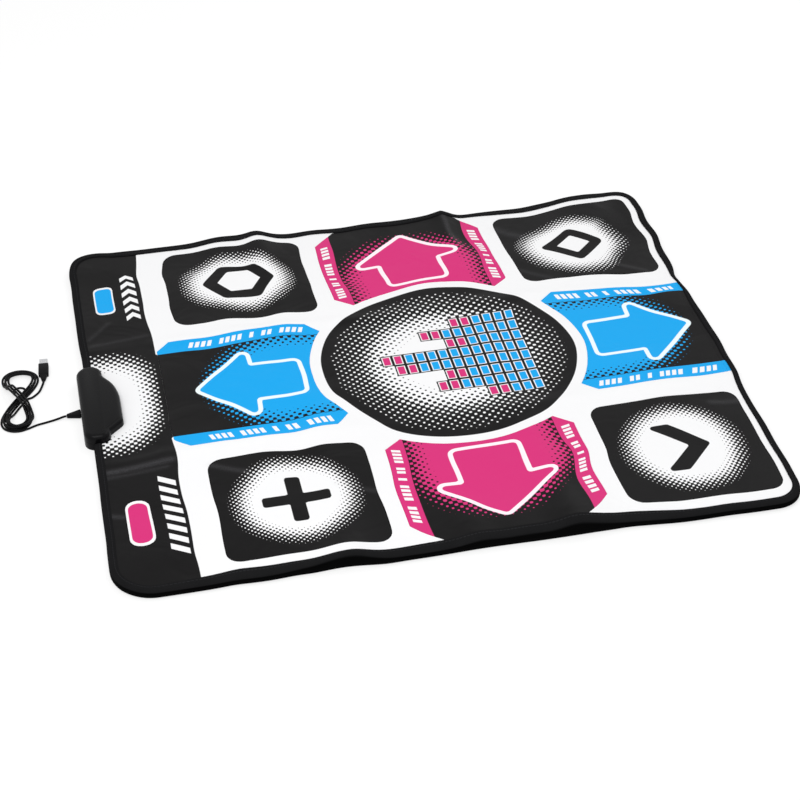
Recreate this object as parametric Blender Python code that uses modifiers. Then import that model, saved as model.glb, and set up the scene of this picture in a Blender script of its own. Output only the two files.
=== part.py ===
"""Soft foam dance mat with ten sprung step zones, a clamped control box and a plug-in cable.

The mat lies flat with its underside on z = 0, centred on the origin. +X runs along its long side,
away from the control box, +Y along its short side, and +Z up. A player stands facing the box, so
the player's up is -X and the player's right is +Y.

The mat is a sandwich, from the floor up: a non-slip sheet, a foam pad, a contact film with a tail
that runs into the box, a perforated spacer foam, contact patches and the printed cover. A tape
folds round the edge. Each step zone is a piece of the cover with its contact patch below it, and
it sinks into the spacer foam. All sizes here are in millimetres, and MM turns them into metres.
"""

import math

import bmesh
import bpy
import numpy as np
from mathutils import Matrix, Vector

MM = 0.001
GAP = 0.3
COLLECTION = "dance_mat_controller"

# The mat
MAT_LENGTH = 926.0
MAT_WIDTH = 813.0
MAT_CORNER_LEFT = 56.0
MAT_CORNER_RIGHT = 42.0
TAPE_LIP = 13.0
TAPE_THICKNESS = 1.2
TAPE_EDGE_BEVEL = 1.0
LAYER_INSET = TAPE_THICKNESS + GAP

# Heights of the layers, each as bottom and top
BOTTOM_SHEET = (0.0, 1.7)
BOTTOM_FLANGE = (1.5, 1.7)
FOAM_PAD = (2.0, 6.1)
LOWER_FILM = (6.4, 6.7)
SPACER = (7.0, 10.0)
SPACER_PAD = (7.0, 9.4)
CONTACT = (9.7, 10.0)
COVER = (10.3, 11.1)
TAPE_TOP = COVER[1] + GAP + TAPE_THICKNESS

# The printed layout, around the middle disc. It lies 3.5 mm off the mat's centre line.
DISC_X = 65.0
DISC_Y = 3.5
PANEL_ARC = 205.0
CORNER_PANEL = (218.0, 212.0, 20.0)
CORNER_PANEL_AT = (271.0, 274.0)
ARROW_PANEL_TIP = 110.0
ARROW_PANEL_START = 193.0

# Each arrow panel: its direction, half width, and how far out its chamfer and its end are
ARROW_PANELS = {
    "up": ((-1, 0), 130.0, 399.0, 418.0),
    "down": ((1, 0), 130.0, 399.0, 383.0),
    "right": ((0, 1), 135.0, 354.0, 390.0),
    "left": ((0, -1), 135.0, 354.0, 393.0),
}

# Each small button: its centre, size and corner radius
PILLS = {
    "start": ((-416.0, 271.0), (30.0, 76.0), 10.0),
    "select": ((-417.0, -269.5), (32.0, 93.0), 15.0),
}

# Gaps round a zone, and how far in its hidden pieces stop
COVER_OPENING = 0.5
SPACER_OPENING = 1.0
SPACER_PAD_GROW = 0.6
CONTACT_INSET = 8.0
PILL_CONTACT_INSET = 4.0

# Holes of the spacer pads, through which the contacts meet: each arrow's as (outward, across)
HOLE_RADIUS = 18.0
PILL_HOLE_RADIUS = 9.0
HOLE_SIDES = 8
ARROW_HOLES = ((240.0, 0.0), (262.0, -78.0), (262.0, 78.0), (330.0, -45.0), (330.0, 45.0))
CORNER_HOLE_SPREAD = 58.0
PILL_HOLE_SPREAD = 20.0

# The control box, centred at BOX_Y on the mat's left edge
BOX_Y = DISC_Y - 3.0
BOX_LEFT = -475.0
BOX_RIGHT = -438.0
BOX_HALF = 87.0
BOX_TOP = 24.0

# Its corner radii, on the left and on the right
BOX_NEAR_CORNERS = (17.0, 13.0)
BOX_FAR_CORNERS = (19.0, 17.0)

# The corners of its swelling over the mat: x, distance from BOX_Y, and fillet
BOX_SWELLING = (
    (-438.0, -72.0, 4.0),
    (-417.5, -52.0, 12.0),
    (-417.5, 12.0, 100.0),
    (-423.0, 38.0, 60.0),
    (-438.0, 62.0, 16.0),
)
BOX_SPLIT = (11.0, COVER[1] + GAP)
BOX_WALL = 2.0
BOX_FLOOR = 2.0
BOX_LIP = 1.0
BOX_LIP_INSET = 0.8
BOX_ROOF = 3.0
BOX_ROOF_BEVEL = 6.5
BOX_ROOF_STEPS = 5
NOTCH_GAP = 0.5

SCREW_HEAD_RADIUS = 2.7
SCREW_HEAD_HEIGHT = 1.4
SCREW_RADIUS = 1.3
SCREW_BOTTOM = 0.2
SCREW_TOP = 19.0
END_SCREWS = (-456.0, 76.0)
CLAMP_SCREWS = (-429.5, 30.0)
HEAD_CLEARANCE = 0.35
POST_RADIUS = 3.4

BOARD_SIZE = (27.6, 104.0, 1.6)
BOARD_AT = (-456.5, BOX_Y, 5.2)
BOARD_FOOT_SPREAD = 40.0
BOARD_FOOT_RADIUS = 2.5
CHIP = (9.0, 12.0, 1.8)
CHIP_Y = 28.0
CRYSTAL = (4.0, 10.0, 3.2)
CRYSTAL_AT = (-2.0, -22.0)
CAPACITOR_RADIUS = 2.5
CAPACITOR_HEIGHT = 9.0
CAPACITOR_AT = (6.0, -36.0)
CLAMP_BAR = (6.0, 30.0, 4.0)
RIBBON = (4.0, 1.0)
RIBBON_OVER_BOARD = 8.0
TAIL_WIDTH = 24.0
TAIL_END = -452.0
TAIL_FILLET = 2.0

# The cable
CABLE_DIAMETER = 3.4
CABLE_RADIUS = CABLE_DIAMETER / 2
RELIEF_Y = BOX_Y - 3.0
RELIEF_Z = 5.4
RELIEF_LENGTH = 20.0
RELIEF_TIP_Z = 4.3
RELIEF_BOOT = (13.0, 8.6)
RELIEF_NECK = (9.0, 5.0)
RELIEF_FLANGE = (1.8, 13.0, 6.4)
BOOT_WALL = 0.9

HANK_AT = (-560.0, 54.5)
HANK_TILT = math.radians(-5.4)
UPPER_LOBE = (20.0, 64.0)
LOWER_LOBE = (18.5, 70.0)
STRAND_PITCH = CABLE_DIAMETER + 0.85
HANK_START = 1.42 * math.pi
HANK_END = 12.0 * math.pi
FIRST_LOBE_SCALE = 0.52
FIRST_LOBE_END = 3.01 * math.pi
LAYER_TURNS = 2.3
CROSSING_TURN = 0.62 * math.pi
BRIDGE_BEFORE = 0.56
BRIDGE_AFTER = 0.28
BRIDGE_RAMP = 0.30
POINT_SPACING = 6.6

PLUG_AT = (-522.3, 92.5)
PLUG_TURN = math.radians(-3.5)
PLUG_Z = 4.2
PLUG_BODY = (14.6, 27.0, 8.0)
PLUG_BOOT = 13.0
PLUG_SHELL = (12.0, 12.0, 4.5)
PLUG_SHELL_WALL = 0.3
PLUG_WINDOW = (2.5, 2.4)
PLUG_WINDOW_SPREAD = 2.9
TONGUE_REAR = 2.4
TONGUE_LENGTH = 9.0
TONGUE_LOW = 0.15
CONTACT_STRIP = (1.0, 6.4, 0.2)
CONTACT_STRIPS_X = (-3.5, -1.0, 1.0, 3.5)

# Colours as linear values, with roughness
PRINT_BLACK = ((0.022, 0.020, 0.021), 0.45)
PRINT_WHITE = ((0.86, 0.86, 0.87), 0.45)
PRINT_BLUE = ((0.023, 0.402, 0.939), 0.42)
PRINT_PINK = ((0.799, 0.045, 0.238), 0.42)
TAPE_BLACK = ((0.010, 0.010, 0.011), 0.85)
FOAM_GREY = ((0.10, 0.10, 0.11), 0.9)
FOAM_WHITE = ((0.72, 0.72, 0.70), 0.9)
FILM_CLEAR = ((0.55, 0.60, 0.62), 0.3)
CARBON_FILM = ((0.05, 0.05, 0.055), 0.35)
RUBBER_BLACK = ((0.014, 0.014, 0.015), 0.8)
BOX_BLACK = ((0.016, 0.015, 0.016), 0.38)
BOARD_GREEN = ((0.02, 0.16, 0.06), 0.45)
CHIP_BLACK = ((0.012, 0.012, 0.013), 0.5)
STEEL = ((0.56, 0.57, 0.58), 0.3)
BRASS = ((0.70, 0.50, 0.20), 0.35)
PLASTIC_WHITE = ((0.80, 0.80, 0.78), 0.4)


def clear_scene():
    """Removes what the scene held before."""
    for item in list(bpy.data.objects):
        bpy.data.objects.remove(item, do_unlink=True)


def make_collection(name):
    """Returns a new collection, linked to the scene."""
    collection = bpy.data.collections.new(name)
    bpy.context.scene.collection.children.link(collection)
    return collection


def material(name, look, metallic=0.0):
    """Returns the named Principled material, made on its first use."""
    if name in bpy.data.materials:
        return bpy.data.materials[name]
    color, roughness = look
    made = bpy.data.materials.new(name)
    made.use_nodes = True
    shader = made.node_tree.nodes["Principled BSDF"]
    shader.inputs["Base Color"].default_value = (*color, 1.0)
    shader.inputs["Roughness"].default_value = roughness
    shader.inputs["Metallic"].default_value = metallic
    made.diffuse_color = (*color, 1.0)
    return made


def place(name, data, collection, finish=None):
    """Puts a mesh or curve into a collection as a named object with its material."""
    item = bpy.data.objects.new(name, data)
    collection.objects.link(item)
    if finish is not None:
        data.materials.clear()
        data.materials.append(finish)
    return item


def rounded_outline(corners, steps=6):
    """Turns (x, y, fillet radius) corners, counterclockwise, into points with an arc at each fillet."""
    points = []
    for index, (x, y, radius) in enumerate(corners):
        here = Vector((x, y))
        back = (Vector(corners[index - 1][:2]) - here).normalized()
        ahead = (Vector(corners[(index + 1) % len(corners)][:2]) - here).normalized()
        if radius == 0.0:
            points.append((x, y))
            continue
        half = back.angle(ahead) / 2
        centre = here + (back + ahead).normalized() * (radius / math.sin(half))
        start = here + back * (radius / math.tan(half)) - centre
        turn = math.copysign(math.pi - 2 * half, ahead.x * back.y - ahead.y * back.x)
        for step in range(steps + 1):
            spoke = Matrix.Rotation(turn * step / steps, 2) @ start
            points.append((centre.x + spoke.x, centre.y + spoke.y))
    return points


def rounded_rectangle(centre, size, radius, steps=6):
    """Returns a rectangle's outline with round corners, counterclockwise."""
    x, y = centre
    half_x, half_y = size[0] / 2, size[1] / 2
    corners = [
        (x - half_x, y - half_y, radius),
        (x + half_x, y - half_y, radius),
        (x + half_x, y + half_y, radius),
        (x - half_x, y + half_y, radius),
    ]
    return rounded_outline(corners, steps)


def circle_outline(centre, radius, sides):
    """Returns a regular outline, counterclockwise."""
    angles = [2 * math.pi * (side + 0.5) / sides for side in range(sides)]
    return [(centre[0] + radius * math.cos(a), centre[1] + radius * math.sin(a)) for a in angles]


def offset_outline(points, distance):
    """Moves each side of a counterclockwise outline outward by a distance, with mitred corners."""
    moved = []
    for index, point in enumerate(points):
        here = Vector(point)
        into = (here - Vector(points[index - 1])).normalized()
        out = (Vector(points[(index + 1) % len(points)]) - here).normalized()
        normal = Vector((into.y, -into.x)) + Vector((out.y, -out.x))
        normal.normalize()
        reach = distance / max(normal.dot(Vector((into.y, -into.x))), 0.5)
        moved.append((here.x + normal.x * reach, here.y + normal.y * reach))
    return moved


def prism(name, loops, span, collection, finish=None):
    """Extrudes an outline, with its holes as further loops, between two heights.

    The curve itself is in millimetres, at which its fill is exact, and the object scales it down.
    """
    low, high = span
    curve = bpy.data.curves.new(name, "CURVE")
    curve.dimensions = "2D"
    curve.fill_mode = "BOTH"
    curve.extrude = (high - low) / 2
    for loop in loops:
        spline = curve.splines.new("POLY")
        spline.points.add(len(loop) - 1)
        spline.use_cyclic_u = True
        for point, (x, y) in zip(spline.points, loop):
            point.co = (x, y, 0.0, 1.0)
    item = place(name, curve, collection, finish)
    item.scale = (MM, MM, MM)
    item.location.z = (low + high) / 2 * MM
    return item


def as_mesh(item, flatten=False):
    """Replaces a curve object by a mesh object of the same name, with its caps welded on."""
    bpy.context.view_layer.update()
    graph = bpy.context.evaluated_depsgraph_get()
    mesh = bpy.data.meshes.new_from_object(item.evaluated_get(graph))
    mesh.transform(item.matrix_world)
    work = bmesh.new()
    work.from_mesh(mesh)
    bmesh.ops.remove_doubles(work, verts=work.verts, dist=0.00001)
    if flatten:
        bmesh.ops.dissolve_limit(work, angle_limit=0.01, verts=work.verts, edges=work.edges)
    bmesh.ops.recalc_face_normals(work, faces=work.faces)
    work.to_mesh(mesh)
    work.free()
    name, home, finish = item.name, item.users_collection[0], item.active_material
    bpy.data.objects.remove(item, do_unlink=True)
    return place(name, mesh, home, finish)


def block(name, centre, size, collection, finish=None):
    """Returns a box of the given size at a centre."""
    bpy.ops.mesh.primitive_cube_add(size=1.0)
    item = bpy.context.object
    mesh = item.data
    bpy.data.objects.remove(item, do_unlink=True)
    mesh.transform(Matrix.Diagonal((*[edge * MM for edge in size], 1.0)))
    item = place(name, mesh, collection, finish)
    item.location = [value * MM for value in centre]
    return item


def cylinder(name, centre, radius, span, collection, finish=None, sides=16):
    """Returns an upright cylinder between two heights."""
    bpy.ops.mesh.primitive_cylinder_add(vertices=sides, radius=radius * MM, depth=(span[1] - span[0]) * MM)
    item = bpy.context.object
    mesh = item.data
    bpy.data.objects.remove(item, do_unlink=True)
    item = place(name, mesh, collection, finish)
    item.location = (centre[0] * MM, centre[1] * MM, (span[0] + span[1]) / 2 * MM)
    return item


def combine(target, tool, operation="DIFFERENCE"):
    """Cuts a mesh object by another, or joins the other to it, and hides that other."""
    modifier = target.modifiers.new(tool.name, "BOOLEAN")
    modifier.operation = operation
    modifier.solver = "EXACT"
    modifier.object = tool
    tool.hide_render = True
    tool.display_type = "WIRE"


def soften(item, width, segments=2, angle=35.0):
    """Rounds an object's sharp edges."""
    modifier = item.modifiers.new("edges", "BEVEL")
    modifier.width = width * MM
    modifier.segments = segments
    modifier.limit_method = "ANGLE"
    modifier.angle_limit = math.radians(angle)


def round_roof(item, width, segments):
    """Bevels only the rim of an object's highest face."""
    work = bmesh.new()
    work.from_mesh(item.data)
    top = max(vertex.co.z for vertex in work.verts)
    rim = []
    for edge in work.edges:
        level = all(abs(vertex.co.z - top) < 0.00001 for vertex in edge.verts)
        if level and edge.calc_face_angle(0.0) > 0.5:
            rim.append(edge)
    bmesh.ops.bevel(work, geom=rim, offset=width * MM, segments=segments, profile=0.5, affect="EDGES")
    work.to_mesh(item.data)
    work.free()


def mat_outline(inset, tail=()):
    """Returns a layer's outline: the rounded mat, with the notch that the control box fills.

    A tail is a list of further corners that stand out into the notch.
    """
    half_x = MAT_LENGTH / 2 - inset
    half_y = MAT_WIDTH / 2 - inset
    notch = NOTCH_GAP + inset - LAYER_INSET
    inner = BOX_RIGHT + notch
    reach = BOX_HALF + notch
    corners = [
        (-half_x, -half_y, MAT_CORNER_LEFT - inset),
        (half_x, -half_y, MAT_CORNER_RIGHT - inset),
        (half_x, half_y, MAT_CORNER_RIGHT - inset),
        (-half_x, half_y, MAT_CORNER_LEFT - inset),
        (-half_x, BOX_Y + reach, 0.0),
        (inner, BOX_Y + reach, BOX_FAR_CORNERS[1]),
        *tail,
        (inner, BOX_Y - reach, BOX_NEAR_CORNERS[1]),
        (-half_x, BOX_Y - reach, 0.0),
    ]
    return rounded_outline(corners)


def plain_outline(inset, steps=8):
    """Returns the rounded mat without its notch."""
    half_x = MAT_LENGTH / 2 - inset
    half_y = MAT_WIDTH / 2 - inset
    corners = [
        (-half_x, -half_y, MAT_CORNER_LEFT - inset),
        (half_x, -half_y, MAT_CORNER_RIGHT - inset),
        (half_x, half_y, MAT_CORNER_RIGHT - inset),
        (-half_x, half_y, MAT_CORNER_LEFT - inset),
    ]
    return rounded_outline(corners, steps)


def arrow_panel(direction, half, chamfer, end):
    """Returns an arrow panel's outline: an arc that faces the disc, two tips and a chamfered end.

    The panel runs outward from the disc along a direction, and narrows on each side by 1 for each
    millimetre past the chamfer's start.
    """
    near = math.sqrt(PANEL_ARC**2 - ARROW_PANEL_TIP**2)
    sweep = math.asin(ARROW_PANEL_TIP / PANEL_ARC)
    local = [(ARROW_PANEL_START, -half)]
    if end > chamfer:
        narrow = half - (end - chamfer)
        local += [(chamfer, -half), (end, -narrow), (end, narrow), (chamfer, half)]
    else:
        local += [(end, -half), (end, half)]
    local += [(ARROW_PANEL_START, half), (near, ARROW_PANEL_TIP)]
    steps = 14
    for step in range(1, steps):
        angle = sweep * (1 - 2 * step / steps)
        local.append((PANEL_ARC * math.cos(angle), PANEL_ARC * math.sin(angle)))
    local.append((near, -ARROW_PANEL_TIP))
    turn = Matrix.Rotation(math.atan2(direction[1], direction[0]), 2)
    turned = [turn @ Vector(point) for point in local]
    return [(DISC_X + point.x, DISC_Y + point.y) for point in turned]


def corner_zone(side_x, side_y):
    """Returns a corner panel's outline and its spacer holes' centres."""
    width, depth, radius = CORNER_PANEL
    centre = (DISC_X + side_x * CORNER_PANEL_AT[0], DISC_Y + side_y * CORNER_PANEL_AT[1])
    holes = [centre]
    for x in (-1, 1):
        for y in (-1, 1):
            holes.append((centre[0] + CORNER_HOLE_SPREAD * x, centre[1] + CORNER_HOLE_SPREAD * y))
    return rounded_rectangle(centre, (width, depth), radius, 5), holes


def arrow_zone(name):
    """Returns an arrow panel's outline and its spacer holes' centres."""
    direction = ARROW_PANELS[name][0]
    outline = arrow_panel(*ARROW_PANELS[name])
    side = (-direction[1], direction[0])
    holes = []
    for along, across in ARROW_HOLES:
        x = DISC_X + direction[0] * along + side[0] * across
        y = DISC_Y + direction[1] * along + side[1] * across
        holes.append((x, y))
    return outline, holes


def pill_zone(name):
    """Returns a small button's outline and its spacer holes' centres."""
    centre, size, radius = PILLS[name]
    holes = [(centre[0], centre[1] + side * PILL_HOLE_SPREAD) for side in (-1, 1)]
    return rounded_rectangle(centre, size, radius, 4), holes


def step_zones():
    """Returns each step zone's outline and holes, by the player's name for it."""
    zones = {name: arrow_zone(name) for name in ARROW_PANELS}
    zones["up_right"] = corner_zone(-1, 1)
    zones["up_left"] = corner_zone(-1, -1)
    zones["down_right"] = corner_zone(1, 1)
    zones["down_left"] = corner_zone(1, -1)
    zones |= {name: pill_zone(name) for name in PILLS}
    return zones


ZONE_PRINT = {
    "up": ("print_blue", PRINT_BLUE),
    "down": ("print_blue", PRINT_BLUE),
    "left": ("print_pink", PRINT_PINK),
    "right": ("print_pink", PRINT_PINK),
    "start": ("print_blue", PRINT_BLUE),
    "select": ("print_pink", PRINT_PINK),
}


def make_zone(name, outline, holes, parts):
    """Makes one step zone: its piece of cover, its contact patch and its pad of spacer foam."""
    finish = material(*ZONE_PRINT.get(name, ("print_black", PRINT_BLACK)))
    prism(name + "_step_pad", [outline], COVER, parts, finish)

    small = name in PILLS
    inset = PILL_CONTACT_INSET if small else CONTACT_INSET
    patch = offset_outline(outline, -inset)
    prism(name + "_contact_patch", [patch], CONTACT, parts, material("carbon_film", CARBON_FILM))

    radius = PILL_HOLE_RADIUS if small else HOLE_RADIUS
    loops = [offset_outline(outline, SPACER_PAD_GROW)]
    loops += [circle_outline(centre, radius, HOLE_SIDES) for centre in holes]
    prism(name + "_spacer_pad", loops, SPACER_PAD, parts, material("foam_white", FOAM_WHITE))


def screw_places():
    """Returns the places of the two end screws, then of the two clamp screws that pass through the mat."""
    return [(x, BOX_Y + side * reach) for x, reach in (END_SCREWS, CLAMP_SCREWS) for side in (1, -1)]


def clamp_holes():
    """Returns the outlines that let the two clamp screws through the mat."""
    return [circle_outline(spot, POST_RADIUS, HOLE_SIDES) for spot in screw_places()[2:]]


def make_layers(zones, parts, cutters):
    """Makes the whole sheets of the sandwich."""
    openings = [offset_outline(outline, COVER_OPENING) for outline, _ in zones.values()]
    loops = [mat_outline(LAYER_INSET)] + openings + clamp_holes()
    prism("printed_cover", loops, COVER, parts, material("print_white", PRINT_WHITE))

    windows = [offset_outline(outline, SPACER_OPENING) for outline, _ in zones.values()]
    loops = [mat_outline(LAYER_INSET)] + windows + clamp_holes()
    prism("spacer_foam", loops, SPACER, parts, material("foam_white", FOAM_WHITE))

    inner = BOX_RIGHT + NOTCH_GAP
    tail = [
        (inner, BOX_Y + TAIL_WIDTH / 2, TAIL_FILLET),
        (TAIL_END, BOX_Y + TAIL_WIDTH / 2, TAIL_FILLET),
        (TAIL_END, BOX_Y - TAIL_WIDTH / 2, TAIL_FILLET),
        (inner, BOX_Y - TAIL_WIDTH / 2, TAIL_FILLET),
    ]
    film = [mat_outline(LAYER_INSET, tail)] + clamp_holes()
    prism("lower_contact_film", film, LOWER_FILM, parts, material("film", FILM_CLEAR))

    foam = [mat_outline(LAYER_INSET)] + clamp_holes()
    prism("foam_pad", foam, FOAM_PAD, parts, material("foam_grey", FOAM_GREY))

    lower = [mat_outline(TAPE_LIP + GAP)]
    sheet = as_mesh(prism("nonslip_sheet", lower, BOTTOM_SHEET, parts, material("rubber", RUBBER_BLACK)))
    flange = as_mesh(prism("sheet_flange", [mat_outline(LAYER_INSET)], BOTTOM_FLANGE, cutters))
    combine(sheet, flange, "UNION")
    for index, hole in enumerate(clamp_holes()):
        combine(sheet, as_mesh(prism("sheet_hole_%d" % index, [hole], (-1.0, 3.0), cutters)))
    lip_room = offset_outline(box_outline(), NOTCH_GAP)
    combine(sheet, as_mesh(prism("sheet_lip_room", [lip_room], (-1.0, BOX_LIP + GAP), cutters)))


def make_tape(parts, cutters):
    """Makes the edge tape: a slab with a slot for the layers, an open middle and the box's notch."""
    slab = prism("edge_tape", [plain_outline(0.0)], (0.0, TAPE_TOP), parts, material("tape", TAPE_BLACK))
    slab = as_mesh(slab, flatten=True)
    soften(slab, TAPE_EDGE_BEVEL)
    slot = (TAPE_THICKNESS, TAPE_TOP - TAPE_THICKNESS)
    combine(slab, as_mesh(prism("tape_slot", [plain_outline(TAPE_THICKNESS)], slot, cutters)))
    middle = plain_outline(TAPE_LIP)
    combine(slab, as_mesh(prism("tape_middle", [middle], (-1.0, TAPE_TOP + 1.0), cutters)))
    reach = BOX_HALF + NOTCH_GAP
    centre = (BOX_RIGHT + NOTCH_GAP - reach, BOX_Y, TAPE_TOP / 2)
    combine(slab, block("tape_notch", centre, (2 * reach, 2 * reach, 2 * TAPE_TOP), cutters))


def case_outline(swelling=()):
    """Returns the outline of the box's case, which stands in the mat's notch, with any swelling's corners."""
    near, far = BOX_Y - BOX_HALF, BOX_Y + BOX_HALF
    corners = [
        (BOX_LEFT, near, BOX_NEAR_CORNERS[0]),
        (BOX_RIGHT, near, BOX_NEAR_CORNERS[1]),
        *swelling,
        (BOX_RIGHT, far, BOX_FAR_CORNERS[1]),
        (BOX_LEFT, far, BOX_FAR_CORNERS[0]),
    ]
    return rounded_outline(corners)


def box_outline():
    """Returns the control box's whole outline: its case, and the swelling that clamps the mat."""
    return case_outline([(x, BOX_Y + away, fillet) for x, away, fillet in BOX_SWELLING])


def make_upper_shell(parts, cutters):
    """Makes the box's cover, open below, with four screw bosses under its roof."""
    shell = prism("upper_shell", [box_outline()], (BOX_SPLIT[1], BOX_TOP), parts, material("box", BOX_BLACK))
    shell = as_mesh(shell, flatten=True)
    round_roof(shell, BOX_ROOF_BEVEL, BOX_ROOF_STEPS)
    hollow = offset_outline(box_outline(), -BOX_WALL)
    room = as_mesh(prism("upper_room", [hollow], (0.0, BOX_TOP - BOX_ROOF), cutters), flatten=True)
    combine(shell, room)
    for index, spot in enumerate(screw_places()):
        boss = cylinder("boss_%d" % index, spot, POST_RADIUS, (BOX_SPLIT[1], BOX_TOP - BOX_ROOF / 2), cutters)
        combine(shell, boss, "UNION")
        bore = (BOX_SPLIT[1] - 1.0, SCREW_TOP + 0.5)
        combine(shell, cylinder("bore_%d" % index, spot, SCREW_RADIUS + GAP, bore, cutters))


def countersink(name, spot, cutters):
    """Returns a cutter for a screw: a cone for the head that narrows to a clearance hole."""
    wide = SCREW_HEAD_RADIUS + HEAD_CLEARANCE
    narrow = SCREW_RADIUS + HEAD_CLEARANCE
    mouth = -0.5
    seat = SCREW_BOTTOM + SCREW_HEAD_HEIGHT + 0.2
    slope = (wide - narrow) / (seat - SCREW_BOTTOM)
    profile = [
        (0.0, BOX_SPLIT[1] + 1.0),
        (narrow, BOX_SPLIT[1] + 1.0),
        (narrow, seat),
        (wide + slope * (SCREW_BOTTOM - mouth), mouth),
        (0.0, mouth),
    ]
    return turned(name, profile, spot, cutters)


def turned(name, profile, spot, collection, finish=None, steps=12):
    """Turns a (radius, height) profile, listed from top to bottom, round an upright axis."""
    mesh = bpy.data.meshes.new(name)
    points = [(radius * MM, 0.0, height * MM) for radius, height in profile]
    edges = [(index, index + 1) for index in range(len(points) - 1)]
    mesh.from_pydata(points, edges, [])
    item = place(name, mesh, collection, finish)
    item.location = (spot[0] * MM, spot[1] * MM, 0.0)
    screw = item.modifiers.new("turn", "SCREW")
    screw.steps = steps
    screw.render_steps = steps
    screw.use_merge_vertices = True
    screw.merge_threshold = 0.00001
    return item


def make_lower_shell(parts, cutters):
    """Makes the box's tray, with the thin lip that reaches under the mat."""
    shell = prism("lower_shell", [case_outline()], (0.0, BOX_SPLIT[0]), parts, material("box", BOX_BLACK))
    shell = as_mesh(shell, flatten=True)
    hollow = offset_outline(case_outline(), -BOX_WALL)
    room = prism("lower_room", [hollow], (BOX_FLOOR, BOX_SPLIT[0] + 2.0), cutters)
    combine(shell, as_mesh(room, flatten=True))
    lip = prism("lower_lip", [offset_outline(box_outline(), -BOX_LIP_INSET)], (0.0, BOX_LIP), cutters)
    combine(shell, as_mesh(lip, flatten=True), "UNION")
    tail_slot = (BOX_WALL * 4, TAIL_WIDTH + 4.0, 3.0)
    slot_z = (LOWER_FILM[0] + LOWER_FILM[1]) / 2
    combine(shell, block("tail_slot", (BOX_RIGHT, BOX_Y, slot_z), tail_slot, cutters))
    neck = (BOX_WALL * 4, RELIEF_NECK[0] + 2 * GAP, RELIEF_NECK[1] + 2 * GAP)
    combine(shell, block("neck_slot", (BOX_LEFT, RELIEF_Y, RELIEF_Z), neck, cutters))
    for index, spot in enumerate(screw_places()):
        if index < 2:
            post_z = (BOX_FLOOR / 2, BOX_SPLIT[0] - GAP)
            combine(shell, cylinder("post_%d" % index, spot, POST_RADIUS, post_z, cutters), "UNION")
        combine(shell, countersink("sink_%d" % index, spot, cutters))
    for index, side in enumerate((-1, 1)):
        spot = (BOARD_AT[0], BOX_Y + side * BOARD_FOOT_SPREAD)
        foot_z = (BOX_FLOOR / 2, BOARD_AT[2] - BOARD_SIZE[2] / 2 - GAP)
        combine(shell, cylinder("board_foot_%d" % index, spot, BOARD_FOOT_RADIUS, foot_z, cutters), "UNION")


def make_screws(parts):
    """Makes the four countersunk screws that hold the two shells together."""
    head_top = SCREW_BOTTOM + SCREW_HEAD_HEIGHT
    profile = [
        (0.0, SCREW_TOP),
        (SCREW_RADIUS * 0.6, SCREW_TOP),
        (SCREW_RADIUS, SCREW_TOP - 1.5),
        (SCREW_RADIUS, head_top),
        (SCREW_HEAD_RADIUS, SCREW_BOTTOM),
        (SCREW_HEAD_RADIUS * 0.45, SCREW_BOTTOM),
        (SCREW_HEAD_RADIUS * 0.3, SCREW_BOTTOM + 0.7),
        (0.0, SCREW_BOTTOM + 0.7),
    ]
    for index, spot in enumerate(screw_places()):
        turned("case_screw_%d" % (index + 1), profile, spot, parts, material("steel", STEEL, 1.0))


def make_electronics(parts):
    """Makes the board, its chip, crystal and capacitor, the film clamp bar and the wire ribbon."""
    block("circuit_board", BOARD_AT, BOARD_SIZE, parts, material("board", BOARD_GREEN))
    top = BOARD_AT[2] + BOARD_SIZE[2] / 2 + GAP
    x, y = BOARD_AT[0], BOX_Y
    black = material("chip", CHIP_BLACK)
    white = material("plastic", PLASTIC_WHITE)
    chip = block("controller_chip", (x, y + CHIP_Y, top + CHIP[2] / 2), CHIP, parts, black)
    soften(chip, 0.3, 1)
    crystal_at = (x + CRYSTAL_AT[0], y + CRYSTAL_AT[1], top + CRYSTAL[2] / 2)
    crystal = block("crystal", crystal_at, CRYSTAL, parts, material("steel", STEEL, 1.0))
    soften(crystal, 1.2, 2)
    spot = (x + CAPACITOR_AT[0], y + CAPACITOR_AT[1])
    cylinder("capacitor", spot, CAPACITOR_RADIUS, (top, top + CAPACITOR_HEIGHT), parts, black, 12)
    bar_at = (TAIL_END + CLAMP_BAR[0] / 2 + 2.0, y, LOWER_FILM[1] + GAP + CLAMP_BAR[2] / 2)
    bar = block("film_clamp_bar", bar_at, CLAMP_BAR, parts, white)
    soften(bar, 0.5, 1)
    ribbon_start = BOX_LEFT + BOX_WALL + RELIEF_FLANGE[0] + 3 * GAP
    ribbon_end = x - BOARD_SIZE[0] / 2 + RIBBON_OVER_BOARD
    centre = ((ribbon_start + ribbon_end) / 2, RELIEF_Y, top + GAP + RIBBON[1] / 2)
    block("wire_ribbon", centre, (ribbon_end - ribbon_start, *RIBBON), parts, white)


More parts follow.
